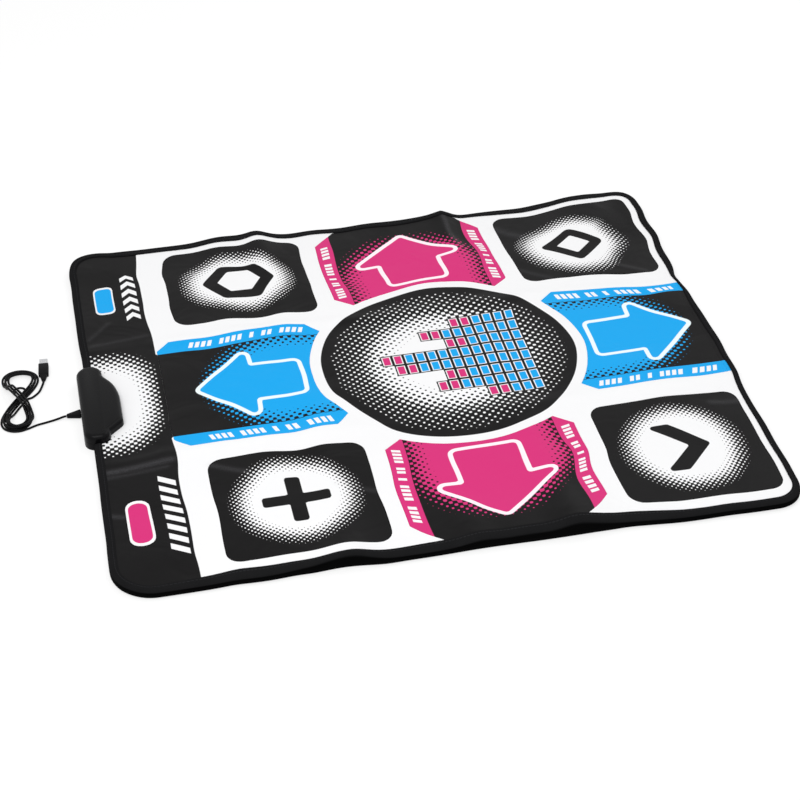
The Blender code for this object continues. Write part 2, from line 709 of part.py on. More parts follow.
def make_strain_relief(parts, cutters):
    """Makes the tapered boot that the cable leaves by, with a neck in the case wall and a flange."""
    outer = RELIEF_LENGTH
    boot_centre = (BOX_LEFT - GAP - outer / 2, RELIEF_Y, RELIEF_Z)
    boot = block("strain_relief", boot_centre, (outer, *RELIEF_BOOT), parts, material("rubber", RUBBER_BLACK))
    tip = (CABLE_RADIUS + BOOT_WALL) * MM
    for vertex in boot.data.vertices:
        if vertex.co.x < 0:
            vertex.co.y = math.copysign(tip, vertex.co.y)
            vertex.co.z = math.copysign(tip, vertex.co.z) + (RELIEF_TIP_Z - RELIEF_Z) * MM
    soften(boot, 1.2, 2, 20.0)
    neck_length = BOX_WALL + 2 * GAP + 2.0
    neck_centre = (BOX_LEFT - GAP - 1.0 + neck_length / 2, RELIEF_Y, RELIEF_Z)
    combine(boot, block("relief_neck", neck_centre, (neck_length, *RELIEF_NECK), cutters), "UNION")
    flange_centre = (BOX_LEFT + BOX_WALL + GAP + RELIEF_FLANGE[0] / 2, RELIEF_Y, RELIEF_Z)
    combine(boot, block("relief_flange", flange_centre, RELIEF_FLANGE, cutters), "UNION")


def smooth_route(points, count):
    """Reads points from a Catmull-Rom curve through a route's own points, ends included."""
    route = np.array([points[0], *points, points[-1]], dtype=float)
    route[0] = 2 * route[1] - route[2]
    route[-1] = 2 * route[-2] - route[-3]
    sections = len(points) - 1
    fine = []
    for t in np.linspace(0.0, sections, count * 8):
        index = min(int(t), sections - 1)
        s = t - index
        a, b, c, d = route[index : index + 4]
        squared = (2 * a - 5 * b + 4 * c - d) * s**2
        cubed = (3 * b - a - 3 * c + d) * s**3
        fine.append(0.5 * (2 * b + (c - a) * s + squared + cubed))
    return respaced(np.array(fine), count)


def respaced(points, count):
    """Spreads points evenly along a line through the given points."""
    reach = np.concatenate([[0.0], np.cumsum(np.linalg.norm(np.diff(points, axis=0), axis=1))])
    stations = np.linspace(0.0, reach[-1], count)
    return np.stack([np.interp(stations, reach, points[:, axis]) for axis in range(3)], axis=1)


def line_length(points):
    """Returns the length of a line through points."""
    return float(np.sum(np.linalg.norm(np.diff(points, axis=0), axis=1)))


def ease(value):
    """Rises smoothly from 0 to 1 as the value does."""
    value = np.clip(value, 0.0, 1.0)
    return value * value * (3 - 2 * value)


def hank_strand(phase):
    """Returns the strand's sideways shift and height above the floor at each phase of the hank.

    A phase grows by two pi a turn. The lower layer shifts steadily by one pitch a turn, the strand
    climbs a layer over half a turn, and the upper layer shifts back at the same rate. The last half
    turn crosses over the other strands and comes down beside them.
    """
    edge = STRAND_PITCH * LAYER_TURNS / 2
    climb = HANK_START + 2 * math.pi * LAYER_TURNS
    turns_past_middle = np.abs(phase - climb - math.pi / 2) / (2 * math.pi)
    shift = -edge + STRAND_PITCH * (turns_past_middle - 0.25)
    layer = ease((phase - climb) / math.pi)

    over = HANK_END - CROSSING_TURN
    cross = ease((phase - over) / (0.42 * math.pi))
    shift = shift + cross * (-edge - 1.2 * STRAND_PITCH - shift)
    lift = ease((phase - over + 0.16 * math.pi) / (0.16 * math.pi))
    drop = ease((phase - over - 0.32 * math.pi) / (0.18 * math.pi))
    layer = layer + lift - 2.0 * drop

    from_crossing = (phase + math.pi) % (2 * math.pi) - math.pi
    from_crossing = np.where(from_crossing > 0, from_crossing - math.pi, from_crossing + math.pi)
    before = ease((from_crossing + BRIDGE_BEFORE) / BRIDGE_RAMP)
    after = 1.0 - ease((from_crossing - BRIDGE_AFTER) / BRIDGE_RAMP)
    bridge = 2.0 * before * after
    height = CABLE_RADIUS + STRAND_PITCH * (layer + bridge)
    return shift, height


def hank_points():
    """Returns the centreline of the figure-eight turns: x = A sin 2t, y = B sin t, and its shifts."""
    phase = np.linspace(HANK_START, HANK_END, 6000)
    upper = np.sin(phase) > 0
    width = np.where(upper, UPPER_LOBE[0], LOWER_LOBE[0])
    length = np.where(upper, UPPER_LOBE[1], LOWER_LOBE[1])
    first = upper & (phase < FIRST_LOBE_END)
    scale = np.where(first, FIRST_LOBE_SCALE, 1.0)
    x = scale * width * np.sin(2 * phase)
    y = scale * length * np.sin(phase)
    along = np.stack([2 * width * np.cos(2 * phase), length * np.cos(phase)], axis=1)
    along /= np.linalg.norm(along, axis=1)[:, None]
    shift, height = hank_strand(phase)
    x = x - along[:, 1] * shift
    y = y + along[:, 0] * shift
    cos_tilt, sin_tilt = math.cos(HANK_TILT), math.sin(HANK_TILT)
    world_x = HANK_AT[0] + x * cos_tilt - y * sin_tilt
    world_y = HANK_AT[1] + x * sin_tilt + y * cos_tilt
    line = np.stack([world_x, world_y, height], axis=1)
    return respaced(line, int(line_length(line) / POINT_SPACING) + 1)


def straight_ends(points):
    """Adds a straight run of one cable diameter at both ends of a line."""
    first = points[0] - points[1]
    last = points[-1] - points[-2]
    first[2] = 0.0
    last[2] = 0.0
    first *= CABLE_DIAMETER / np.linalg.norm(first)
    last *= CABLE_DIAMETER / np.linalg.norm(last)
    return np.vstack([points[0] + first, points, points[-1] + last])


def least_gap(points, diameter):
    """Returns the least gap of a wound tube to itself, past the stretch next to each point."""
    fine = respaced(points, len(points) * 4)
    spacing = line_length(fine) / (len(fine) - 1)
    skip = int(3 * diameter / spacing)
    least = np.inf
    for index in range(len(fine) - skip):
        away = np.linalg.norm(fine[index + skip :] - fine[index], axis=1)
        least = min(least, float(away.min()))
    return least - diameter


def tube(name, points, radius, resolution, parts, finish):
    """Makes a round tube with closed ends along a line of points."""
    curve = bpy.data.curves.new(name, "CURVE")
    curve.dimensions = "3D"
    curve.bevel_depth = radius * MM
    curve.bevel_resolution = resolution
    curve.use_fill_caps = True
    spline = curve.splines.new("POLY")
    spline.points.add(len(points) - 1)
    for point, (x, y, z) in zip(spline.points, points):
        point.co = (x * MM, y * MM, z * MM, 1.0)
    return place(name, curve, parts, finish)


def make_cable(parts):
    """Makes the cable's lead, its figure-eight hank and its tail, and prints their lengths."""
    jacket = material("cable", RUBBER_BLACK)
    hank = straight_ends(hank_points())
    enter = (hank[0] - hank[1]) / CABLE_DIAMETER
    leave = (hank[-1] - hank[-2]) / CABLE_DIAMETER

    relief_tip = BOX_LEFT - GAP - RELIEF_LENGTH - GAP
    lead_end = hank[0] + enter * GAP
    lead = [
        (relief_tip, RELIEF_Y, RELIEF_TIP_Z),
        (relief_tip - CABLE_DIAMETER, RELIEF_Y, RELIEF_TIP_Z - 0.1),
        (-511.0, -4.5, 2.3),
        (-525.0, -7.7, CABLE_RADIUS),
        (-538.0, -10.9, CABLE_RADIUS),
        tuple(lead_end + enter * CABLE_DIAMETER),
        tuple(lead_end),
    ]
    lead = smooth_route(lead, 16)
    plug_back = plug_point((0.0, -GAP))
    tail_start = hank[-1] + leave * GAP
    before_plug = plug_point((0.0, -GAP - CABLE_DIAMETER))
    tail = [
        tuple(tail_start),
        tuple(tail_start + leave * CABLE_DIAMETER),
        (-540.5, 57.5, CABLE_RADIUS),
        (-531.0, 67.5, 2.0),
        (-525.5, 79.5, 3.2),
        (*before_plug, PLUG_Z),
        (*plug_back, PLUG_Z),
    ]
    tail = smooth_route(tail, 15)
    tube("cable_lead", lead, CABLE_RADIUS, 2, parts, jacket)
    tube("cable_hank", hank, CABLE_RADIUS, 1, parts, jacket)
    tube("cable_tail", tail, CABLE_RADIUS, 2, parts, jacket)
    lengths = [line_length(line) for line in (lead, hank, tail)]
    print("cable lengths in mm:", [round(length, 1) for length in lengths], "in all", round(sum(lengths), 1))
    print("least gap of the hank to itself in mm:", round(least_gap(hank, CABLE_DIAMETER), 2))


def plug_point(local):
    """Returns a point of the plug's own plane, x across and y towards its mouth, on the mat's plane."""
    turned_point = Matrix.Rotation(PLUG_TURN, 2) @ Vector(local)
    return PLUG_AT[0] + turned_point.x, PLUG_AT[1] + turned_point.y


def make_plug(parts, cutters):
    """Makes the plug: its overmould, metal shell, tongue and four contacts, under one empty."""
    frame = bpy.data.objects.new("plug_frame", None)
    parts.objects.link(frame)
    frame.location = (PLUG_AT[0] * MM, PLUG_AT[1] * MM, PLUG_Z * MM)
    frame.rotation_euler.z = PLUG_TURN

    width, length, height = PLUG_BODY
    grip_centre = (0.0, PLUG_BOOT + length / 2, 0.0)
    grip = block("plug_overmould", grip_centre, PLUG_BODY, parts, material("rubber", RUBBER_BLACK))
    soften(grip, 1.2, 2)
    boot_size = (width - 3.0, PLUG_BOOT + 1.0, height - 1.6)
    boot = block("plug_boot", (0.0, boot_size[1] / 2, 0.0), boot_size, cutters)
    for vertex in boot.data.vertices:
        if vertex.co.y < 0:
            vertex.co.x = math.copysign((CABLE_RADIUS + BOOT_WALL) * MM, vertex.co.x)
            vertex.co.z = math.copysign((CABLE_RADIUS + BOOT_WALL) * MM, vertex.co.z)
    soften(boot, 0.8, 1, 20.0)
    combine(grip, boot, "UNION")

    shell_start = PLUG_BOOT + length + GAP
    middle = shell_start + PLUG_SHELL[1] / 2
    shell = block("plug_shell", (0.0, middle, 0.0), PLUG_SHELL, parts, material("steel", STEEL, 1.0))
    inner = (PLUG_SHELL[0] - 2 * PLUG_SHELL_WALL, PLUG_SHELL[1] * 2, PLUG_SHELL[2] - 2 * PLUG_SHELL_WALL)
    bore = block("shell_bore", (0.0, middle, 0.0), inner, cutters)
    combine(shell, bore)
    windows = []
    for index, side in enumerate((-1, 1)):
        spot = (side * PLUG_WINDOW_SPREAD, middle, 0.0)
        window = block("shell_window_%d" % index, spot, (*PLUG_WINDOW, height), cutters)
        combine(shell, window)
        windows.append(window)

    tongue_width = inner[0] - 2 * GAP
    tongue_high = inner[2] / 2 - GAP
    rear_y = shell_start + GAP + TONGUE_REAR / 2
    rear_size = (tongue_width, TONGUE_REAR, 2 * tongue_high)
    rear = block("plug_tongue", (0.0, rear_y, 0.0), rear_size, parts, material("plastic", PLASTIC_WHITE))
    blade_y = shell_start + 2 * GAP + TONGUE_REAR / 2 + TONGUE_LENGTH / 2
    blade_size = (tongue_width, TONGUE_LENGTH, tongue_high - TONGUE_LOW)
    blade = block("tongue_blade", (0.0, blade_y, (tongue_high + TONGUE_LOW) / 2), blade_size, cutters)
    combine(rear, blade, "UNION")
    contacts = []
    strip_y = shell_start + TONGUE_REAR + 3 * GAP + CONTACT_STRIP[1] / 2
    for index, x in enumerate(CONTACT_STRIPS_X):
        centre = (x, strip_y, TONGUE_LOW - GAP - CONTACT_STRIP[2] / 2)
        brass = material("brass", BRASS, 1.0)
        contacts.append(block("plug_contact_%d" % (index + 1), centre, CONTACT_STRIP, parts, brass))
    for item in [grip, boot, shell, bore, *windows, rear, blade, *contacts]:
        item.parent = frame


def main():
    clear_scene()
    parts = make_collection(COLLECTION)
    cutters = make_collection("cutters")
    zones = step_zones()
    make_layers(zones, parts, cutters)
    make_tape(parts, cutters)
    for name, (outline, holes) in zones.items():
        make_zone(name, outline, holes, parts)
    make_upper_shell(parts, cutters)
    make_lower_shell(parts, cutters)
    make_screws(parts)
    make_electronics(parts)
    make_strain_relief(parts, cutters)
    make_cable(parts)
    make_plug(parts, cutters)


main()
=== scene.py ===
"""Looks of a soft foam dance mat with a clamped control box and a bundled plug-in cable.

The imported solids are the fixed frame, and every piece made here takes its place and size from them.
All lengths are in millimetres until a mesh is made, which turns them into metres with MM. The mat
lies flat on z = 0, +X runs away from the control box, and +Y is the player's right.

The printed cover and its ten step zones are one wavy sheet that is cut along the zones' outlines:
they share one height, swell(), and one sideways drift, drift(), so that they meet everywhere.
"""

import math

import bmesh
import bpy
import numpy as np
from mathutils import Matrix, Vector

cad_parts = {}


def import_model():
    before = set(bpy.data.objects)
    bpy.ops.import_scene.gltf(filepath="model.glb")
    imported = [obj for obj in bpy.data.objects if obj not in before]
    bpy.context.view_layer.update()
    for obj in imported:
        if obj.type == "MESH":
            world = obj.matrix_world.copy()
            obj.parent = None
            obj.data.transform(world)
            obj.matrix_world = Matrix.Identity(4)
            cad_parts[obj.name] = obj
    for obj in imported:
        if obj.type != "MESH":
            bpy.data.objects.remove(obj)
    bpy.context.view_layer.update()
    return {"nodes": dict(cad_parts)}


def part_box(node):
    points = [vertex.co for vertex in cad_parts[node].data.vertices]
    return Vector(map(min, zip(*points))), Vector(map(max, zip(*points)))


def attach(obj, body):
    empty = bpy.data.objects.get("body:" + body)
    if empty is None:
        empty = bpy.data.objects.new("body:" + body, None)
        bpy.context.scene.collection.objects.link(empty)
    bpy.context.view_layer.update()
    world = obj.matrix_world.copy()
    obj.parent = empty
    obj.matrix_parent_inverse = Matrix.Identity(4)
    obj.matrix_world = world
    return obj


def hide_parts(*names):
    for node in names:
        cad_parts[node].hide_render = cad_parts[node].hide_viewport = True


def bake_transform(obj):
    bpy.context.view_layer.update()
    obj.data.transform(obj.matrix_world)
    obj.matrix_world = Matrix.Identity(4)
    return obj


MM = 0.001

# The view: a camera fitted to the print, looking at a point on the floor
LOOK_AT = (-23.0, -64.5, 0.0)
AZIMUTH = math.radians(-11.44)
ELEVATION = math.radians(36.55)
ROLL = math.radians(-0.84)
DISTANCE = 2782.0
LENS = 86.93
SENSOR = 36.0
CLIP_RANGE = (0.1, 30.0)

# The far and near edges' waves, each where it is along x, how wide, and how high it lifts the cover
FAR_WAVES = (
    (-390.0, 90.0, 4.5),
    (-195.0, 60.0, 7.0),
    (-163.0, 18.0, 4.0),
    (45.0, 70.0, 2.2),
    (147.0, 17.0, 6.5),
    (385.0, 46.0, 8.0),
    (455.0, 24.0, 7.0),
)
NEAR_WAVES = (
    (-166.0, 52.0, 8.5),
    (14.0, 26.0, 4.5),
    (86.0, 48.0, 6.5),
    (145.0, 27.0, 9.5),
    (178.0, 26.0, 4.0),
)
RIGHT_WAVES = ((64.0, 60.0, 3.0), (-210.0, 80.0, 2.0))
EDGE_REACH = 95.0

# Folds that cross the whole mat from its packing, each at a place, with its width and height
FOLDS_ACROSS = ((-155.0, 22.0, 2.4), (135.0, 25.0, 2.0))
FOLDS_ALONG = ((138.0, 13.0, 1.8), (-135.0, 13.0, 1.8))

# Slow waves of the whole cover: turns per metre along x and y, phase and height
SLOW_WAVES = (
    (4.3, 2.2, 0.7, 0.8),
    (-1.9, 5.2, 2.1, 0.6),
    (6.1, -3.7, 4.0, 0.4),
    (2.7, 7.4, 5.2, 0.35),
)

# Creases left by folding: each a line between two points, its width, its height and how far it lightens the
# print: partly whitening of the folded PVC, partly painted sheen
CREASES = (
    ((-462.0, -157.0), (-362.0, -149.0), 5.0, 1.0, 1.0),
    ((-455.0, -168.0), (-370.0, -162.0), 3.5, 0.5, 0.5),
    ((-460.0, -246.0), (-436.0, -254.0), 4.0, 0.8, 0.8),
    ((-448.0, 168.0), (-416.0, 206.0), 3.5, 0.6, 0.4),
    ((-444.0, 151.0), (-362.0, 160.0), 4.0, 0.7, 0.4),
    ((144.0, 404.0), (151.0, 300.0), 4.0, 1.2, 0.9),
    ((-314.0, -172.0), (-262.0, -200.0), 4.0, 0.7, 0.7),
    ((404.0, -186.0), (445.0, -190.0), 4.5, 0.8, 0.6),
    ((-150.0, -250.0), (-100.0, -276.0), 4.0, 0.6, 0.4),
    ((228.0, 352.0), (262.0, 326.0), 9.0, 0.8, 0.5),
    ((230.0, 210.0), (262.0, 176.0), 5.0, 0.7, 0.4),
    ((385.0, 196.0), (420.0, 176.0), 5.0, 0.7, 0.4),
)

# How the soft mat is pulled out of its flat plan, read one by one: a place, and the shift right and up
# there
BROAD_PULLS = (
    (-240, 3, 0, 6), (-225, -87, 0, 7.5), (-150, -42, 0, 8), (-340, 133, 0, 4), (-200, 133, 0, 10),
    (-130, 133, 0, 4), (-300, -120, 0, 3), (-170, -120, 0, 4), (439, 3, 0, 13), (355, 94, 0, 5.5),
    (355, -87, 0, 10.5), (281, 49, 0, 0.5), (281, -42, 0, 4), (258, 133, 0, 10), (448, 133, 0, -15),
    (448, 106, 0, -7), (258, -120, 0, 7), (448, -120, 0, 10), (65, 368, 0, -14), (-26, 290, -8, -13),
    (156, 290, 0, 0), (19, 220, -1, -6), (111, 220, 0, 2.5), (-70, 360, -6, -8), (-70, 200, -1.5, -4),
    (-37, 280, -6, -8), (195, 355, 0, -5), (195, 220, 0, 0), (65, -361, -3.5, -4.5), (-26, -283, -6, 0),
    (156, -283, 6, 11), (111, -213, 0, 4.5), (-65, -340, -1.5, 0), (-65, -220, 0, 0), (195, -340, 1, 5.5),
    (195, -220, 1, 4), (-314, 277, -4, 1.5), (-300, 384, 0, -10), (-230, 384, 0, 0.5),
    (-165, 383, 0, -4.5), (-110, 375, 0, -8), (-290, 171, 0, 7), (-220, 171, 0, 9), (-160, 171, 0, 7),
    (-115, 171, 0, 2), (227, 370, -5, -18), (227, 180, 11, 0), (250, 383, 0, -18), (430, 383, 2.5, 0.5),
    (445, 277, -4.5, 1), (330, -164, 0, 8), (445, -270, -3, -2), (-400, -406, 0, -4),
    (-265, -406, 0, -3.5), (-170, -406, 0, 2), (-60, -406, 0, -5), (40, -406, 0, -1), (155, -406, 0, -4.5),
    (250, -406, 0, -7), (320, -406, 0, -11), (390, -406, 0, -11.5), (450, -400, 0, -11),
)
BROAD_WIDTH = 55.0

# Finer pulls, read by eye from a render with the broad ones: a place, and what was still left there
FINE_PULLS = (
    (-304, 3, 0, 0), (-225, -87, 0, 0), (-151, -42, 0, 2), (-225, -42, 3, 4), (-225, 49, 3, -1),
    (-151, 49, 0, -2.5), (-225, 94, 1, -2), (-334, -127, 3, 2), (-128, -127, 5, 4.5), (-108, -107, 4, 9),
    (-350, -99, 0, 2.5), (-240, -127, 0, 2), (-334, 134, 0, 0), (-260, 134, 0, -3.5), (-215, 134, 0, 2),
    (-190, 134, 0, 3), (-131, 134, 0, 0.5), (281, 49, 2, -1), (355, 49, 0, 0), (355, 94, 2, 0),
    (439, 3, 2.5, 0.5), (355, -87, -1, 0), (281, -42, 0, 1), (258, 134, -2, 1.5), (300, 134, 0, -3),
    (346, 134, 0, -6), (384, 134, 2, -7), (448, 134, 6, -4), (448, 106, 6, 4), (258, -127, 0, 2),
    (350, -127, 0, 1.5), (448, -127, 6, 0), (-70, 357, 0, 3), (-34, 393, -2, 1), (-70, 197, 0, 0),
    (65, 368, -1, -2), (-26, 290, -2, -11), (19, 290, 1, -7), (156, 290, 4, 0), (111, 290, 0, -9),
    (19, 220, 3.5, 0), (111, 220, 3.5, 0), (200, 357, -4.5, 6.5), (200, 197, -3, 0), (172, 330, -4, 0),
    (19, -213, -2, 2), (111, -213, 2, 0), (111, -282, -1, -2.5), (156, -282, 4, -1.5),
    (65, -361, -2.5, -1), (-26, -282, -1, 3), (19, -282, 2, 1), (-70, -350, 0, -4), (200, -350, -1, -3),
    (172, -300, -4, 0), (-70, -200, 0, 0), (200, -210, 0, 0), (227, -185, 1, 0), (280, -165, 0, 0),
    (400, -165, 0, -3.5), (440, -170, 0, -6), (445, -270, -1, 0), (440, -370, -4, 0), (336, -377, 0, 3),
    (240, -377, 0, 3.5), (227, -340, -3.5, 0), (227, 360, -6, 0), (227, 280, -6, 0), (227, 190, -5, 0),
    (250, 383, -5, 2), (290, 383, 0, -1), (340, 383, 0, 0), (372, 383, 0, -7), (405, 383, 0, -5),
    (440, 378, -3, 2), (445, 300, 1, 0), (445, 200, -1.5, 0), (430, 172, 0, 0), (336, 172, 0, 0),
    (245, 172, 0, 2.5), (-315, 350, -5, 0), (-315, 277, -1.5, 0), (-315, 200, -4, 0), (-300, 383, 0, 3),
    (-250, 383, 0, 0), (-228, 383, 0, 1.3), (-195, 383, 0, -9), (-165, 383, 0, 0), (-140, 383, 0, -1.6),
    (-110, 383, 0, -2.8), (-97, 350, -1.5, -3), (-97, 277, 1, 0), (-97, 200, -1.5, 0),
    (-290, 172, 0, -1.5), (-220, 172, 0, 0), (-200, 172, 0, -6), (-160, 172, 0, 0), (-125, 172, 0, -2),
    (-315, -190, -1, 0), (-315, -340, 0, 0), (-290, -165, 0, 4), (-225, -165, 0, 5), (-190, -165, 0, -2),
    (-165, -165, 0, 0), (-120, -165, 0, 1.5), (-97, -200, 0, 0), (-97, -350, 3, 0), (-290, -377, 0, 3),
    (-240, -377, 0, 3), (-200, -377, 0, -3), (-150, -377, 0, -3), (-125, -377, 0, -3), (-350, 406, 0, 6),
    (-300, 406, 0, 9), (-250, 406, 0, 8), (-200, 406, 0, 5), (-155, 406, 0, 5), (-125, 406, 0, 4.5),
    (-90, 406, 0, 6), (-40, 406, 0, 5.5), (20, 406, 0, 6.5), (77, 406, 0, 7), (120, 406, 0, 9),
    (147, 406, 0, 5), (175, 406, 0, 1), (205, 406, 0, 5), (250, 406, 0, 7.5), (300, 406, 0, 10),
    (335, 406, 0, 6), (362, 406, 0, 1), (400, 406, 0, 0), (440, 404, 1, 1.5), (-433, 406, -1, 5),
    (-450, 396, -4, 12), (-463, 350, -2, 0), (-463, 280, -2, 0), (-463, 200, -2, 0), (-463, -350, -2, 0),
    (-463, -250, -1, 0), (463, 380, 4, 0), (463, 330, 8, 0), (463, 290, 12, 0), (463, 240, 9.5, 0),
    (463, 200, 6.5, 0), (463, 175, 2, 0), (463, 140, -6, 0), (463, 100, 2, 0), (463, 50, 2.5, 0),
    (463, 0, 5, 0), (463, -50, 7, 0), (463, -100, 5, 0), (463, -150, 1.5, 0), (463, -220, 0, 0),
    (463, -265, 1.5, 0), (463, -300, 1, 0), (463, -340, 0, 0), (-355, 390, -2, 0), (-355, -390, 4, 0),
    (-355, -300, 2.5, 0), (-124, 3, 2.5, 0), (254, 3, 2.5, 0), (65, 192, 0, 3.5), (65, -185, 0, 0),
    (-400, -406, 0, 0), (-265, -406, 0, 0), (-170, -406, 0, 0), (-60, -406, 0, 0), (40, -406, 0, 0),
    (155, -406, 0, 0), (250, -406, 0, 0), (320, -406, 0, 0), (390, -406, 0, 0), (450, -400, 0, 0),
)
FINE_WIDTH = 34.0

# What the pulls' shares fade out by, and the slack in reaching the fine ones
PULL_FADE = 0.1
PULL_SLACK = 0.05

# The cover is flat where the control box clamps it
BOX_FLAT = 12.0
BOX_FADE = 50.0
BOX_RIGHT = -438.0
BOX_HALF = 87.0

# The radii of the notch's corners that the control box fills, and the film's tail that runs into it
NOTCH_CORNERS = (13.0, 17.0)
TAIL_WIDTH = 24.0
TAIL_END = -452.0

# The print's plan: the strip beside the control box is black up to STRIP_EDGE, and so is the disc.
# A tone is a list of radii, each with the share of ink there
STRIP_EDGE = -355.5
DISC_RADIUS = 189.0
DISC_TONES = ((67.0, 1.0), (132.0, 0.36), (174.0, 0.2), (175.0, 0.0))
DISC_DOTS = 12.5
GLOW_AT = (-452.0, 3.5)
GLOW_HALF = (109.0, 138.0)
GLOW_TONES = ((0.52, 1.0), (0.76, 0.49), (0.88, 0.27), (0.95, 0.0))
GLOW_END = -359.0
STRIP_DOTS = 11.2
BURST_DOTS = 8.0
BURST_TONES = ((0.57, 1.0), (0.77, 0.5), (0.88, 0.28), (1.0, 0.0))
PILLS = {"start": ((25.5, 67.0), 8.0), "select": ((25.5, 82.0), 12.0)}

# The marks beside the pill zones: their middle, half their length, their lean, their pitch and their
# number. A lean above 0 makes chevrons, and one below 0 plain bars
START_MARKS = ((-440.0, 275.0), 12.0, 0.9, 22.0, 6)
SELECT_MARKS = ((-437.5, -264.0), 12.0, -0.6, 20.0, 8)
MARK_SHARE = 0.54

# The disc's stacks: the blocks' pitches and halves across and along, their white edge, the columns'
# number and foot, their height in blocks as a mean and waves (turn a column, start and swing), and how
# many blocks on top are pink
STACK_PITCH = (26.0, 17.0)
STACK_BLOCK = (9.4, 5.0)
STACK_EDGE = 1.5
STACK_COLUMNS = 8
STACK_FOOT = 122.0
STACK_HEIGHT = 9.4
STACK_WAVES = ((0.9, 0.5, 3.0), (2.3, 1.0, 2.4))
STACK_TOP = 2.0

# The arrow zones: the glow's reach from the zone's middle line, where it turns round that line's end,
# what it fades out over and how it widens inward; the arrow's line, half widths, tail and rounding; the
# side strips' width; and on the cover, where the panels and their strips end
ARROW_DOTS = 11.6
ARROW_GLOW = 129.0
GLOW_START = 246.0
GLOW_FALL = 57.0
GLOW_LEAN = 0.03
ARROW_STROKE = 6.6
ARROW_HALF = (90.6, 46.0)
ARROW_TAIL = 216.5
ARROW_ROUND = (8.5, 2.5, 9.0)
STRIP_WIDTH = 27.5
PANEL_END = 374.0
PANEL_BLACK = (97.0, 102.5)
TRIM_START = 366.0
TRIM_MIDDLE = 116.0

# The strips' slanted bars: their lean, their share of a pitch, half their length, where they start, how
# many there are, how many places make a group with the gap after it, and the one left out
BAR_LEAN = 0.3
BAR_SHARE = 0.66
BAR_HALF = 6.2
BAR_START = 233.0
BAR_COUNT = 19.0
BAR_GROUP = 5.0
BAR_LEFT_OUT = 7.0

# Inks and gloss: the colours of the other finishes are with their materials
WHITE_INK = "F6F6F7"
BLACK_INK = "0D0C0D"
BLUE_INK = "15A8EF"
PINK_INK = "D8337B"
# The grey that creases lighten the print towards: partly whitening of the folded PVC, partly painted sheen
# in place of their highlights
WEAR_AND_SHEEN_GREY = "8C8B90"
WEAR_AND_SHEEN_SHARE = 0.13
INK_GLOSS = 0.08
PLASTIC_GLOSS = 0.09
METAL_GLOSS = 0.5
TAPE_GLOSS = 0.02
GRIP_GLOSS = 0.2

# Each arrow panel's line ink, half its width and the pitch of its strips' bars
BLUE_PANEL = ("F0FBFF", 130.0, 9.2)
PINK_PANEL = ("FFF2F8", 135.0, 8.1)

# The printer's screen: its middle, its swing, the tone's gain and a dot's soft edge. MASK_SOFTNESS is
# how wide the soft edge of every other print is
SCREEN_MIDDLE = 0.4
SCREEN_SWING = 0.45
SCREEN_GAIN = 1.1
SCREEN_EDGE = (0.93, 1.03)
MASK_SOFTNESS = 0.7

# Surface grain, in millimetres: the vinyl's embossing and creases, and how wide patches are elsewhere.
# Creases show as lighter streaks, partly whitening of the folded PVC and partly painted sheen: the
# embossing noise's range there, and the strength that it is turned to
EMBOSS_WIDTH = 1.6
EMBOSS_DEPTH = 0.06
EMBOSS_STRENGTH = 0.6
CREASE_WIDTH = 70.0
CREASE_DEPTH = 1.6
CREASE_BEND = 0.8
STREAK_RANGE = (0.3, 0.7)
STREAK_WEAR_AND_SHEEN = (0.5, 1.3)
VINYL_ROUGH = (0.30, 0.46)
SHADE_PATCH = 60.0
GLOSS_PATCH = 18.0
PATCH_DETAIL = 3.0

# Each zone's finish and the name of a slot
ZONES = {
    "up": ("printed_pvc_arrow_blue", "print_blue"),
    "down": ("printed_pvc_arrow_blue", "print_blue"),
    "left": ("printed_pvc_arrow_pink", "print_pink"),
    "right": ("printed_pvc_arrow_pink", "print_pink"),
    "up_right": ("printed_pvc_corner", "print_black"),
    "up_left": ("printed_pvc_corner", "print_black"),
    "down_right": ("printed_pvc_corner", "print_black"),
    "down_left": ("printed_pvc_corner", "print_black"),
    "start": ("printed_pvc_pill_blue", "print_blue"),
    "select": ("printed_pvc_pill_pink", "print_pink"),
}

# An arrow's outward direction, and how far its tip and the base of its head are from the disc's middle
ARROWS = {
    "up": ((-1.0, 0.0), 374.0, 290.0),
    "down": ((1.0, 0.0), 374.0, 290.0),
    "left": ((0.0, -1.0), 365.0, 286.0),
    "right": ((0.0, 1.0), 365.0, 286.0),
}

# A corner's middle, its burst's reach, its sign's outline round that middle, and the sign's stroke,
# which is 0 where the outline is filled
HEXAGON = ((44.0, 0.0), (22.0, 40.0), (-22.0, 40.0), (-44.0, 0.0), (-22.0, -40.0), (22.0, -40.0))
DIAMOND = ((42.0, 0.0), (0.0, 38.0), (-42.0, 0.0), (0.0, -38.0))
PLUS = (
    (42.0, 6.0), (6.0, 6.0), (6.0, 42.0), (-6.0, 42.0), (-6.0, 6.0), (-42.0, 6.0),
    (-42.0, -6.0), (-6.0, -6.0), (-6.0, -42.0), (6.0, -42.0), (6.0, -6.0), (42.0, -6.0),
)
CHEVRON = ((-30.0, 42.0), (-10.0, 42.0), (34.0, 0.0), (-10.0, -42.0), (-30.0, -42.0), (14.0, 0.0))
SIGN_ROUND = 4.5
CORNERS = {
    "up_right": ((-206.0, 281.0), 96.0, HEXAGON, 20.0),
    "up_left": ((-207.0, -267.0), 98.0, PLUS, 0.0),
    "down_right": ((332.0, 269.5), 97.0, DIAMOND, 18.0),
    "down_left": ((335.0, -271.5), 98.0, CHEVRON, 0.0),
}

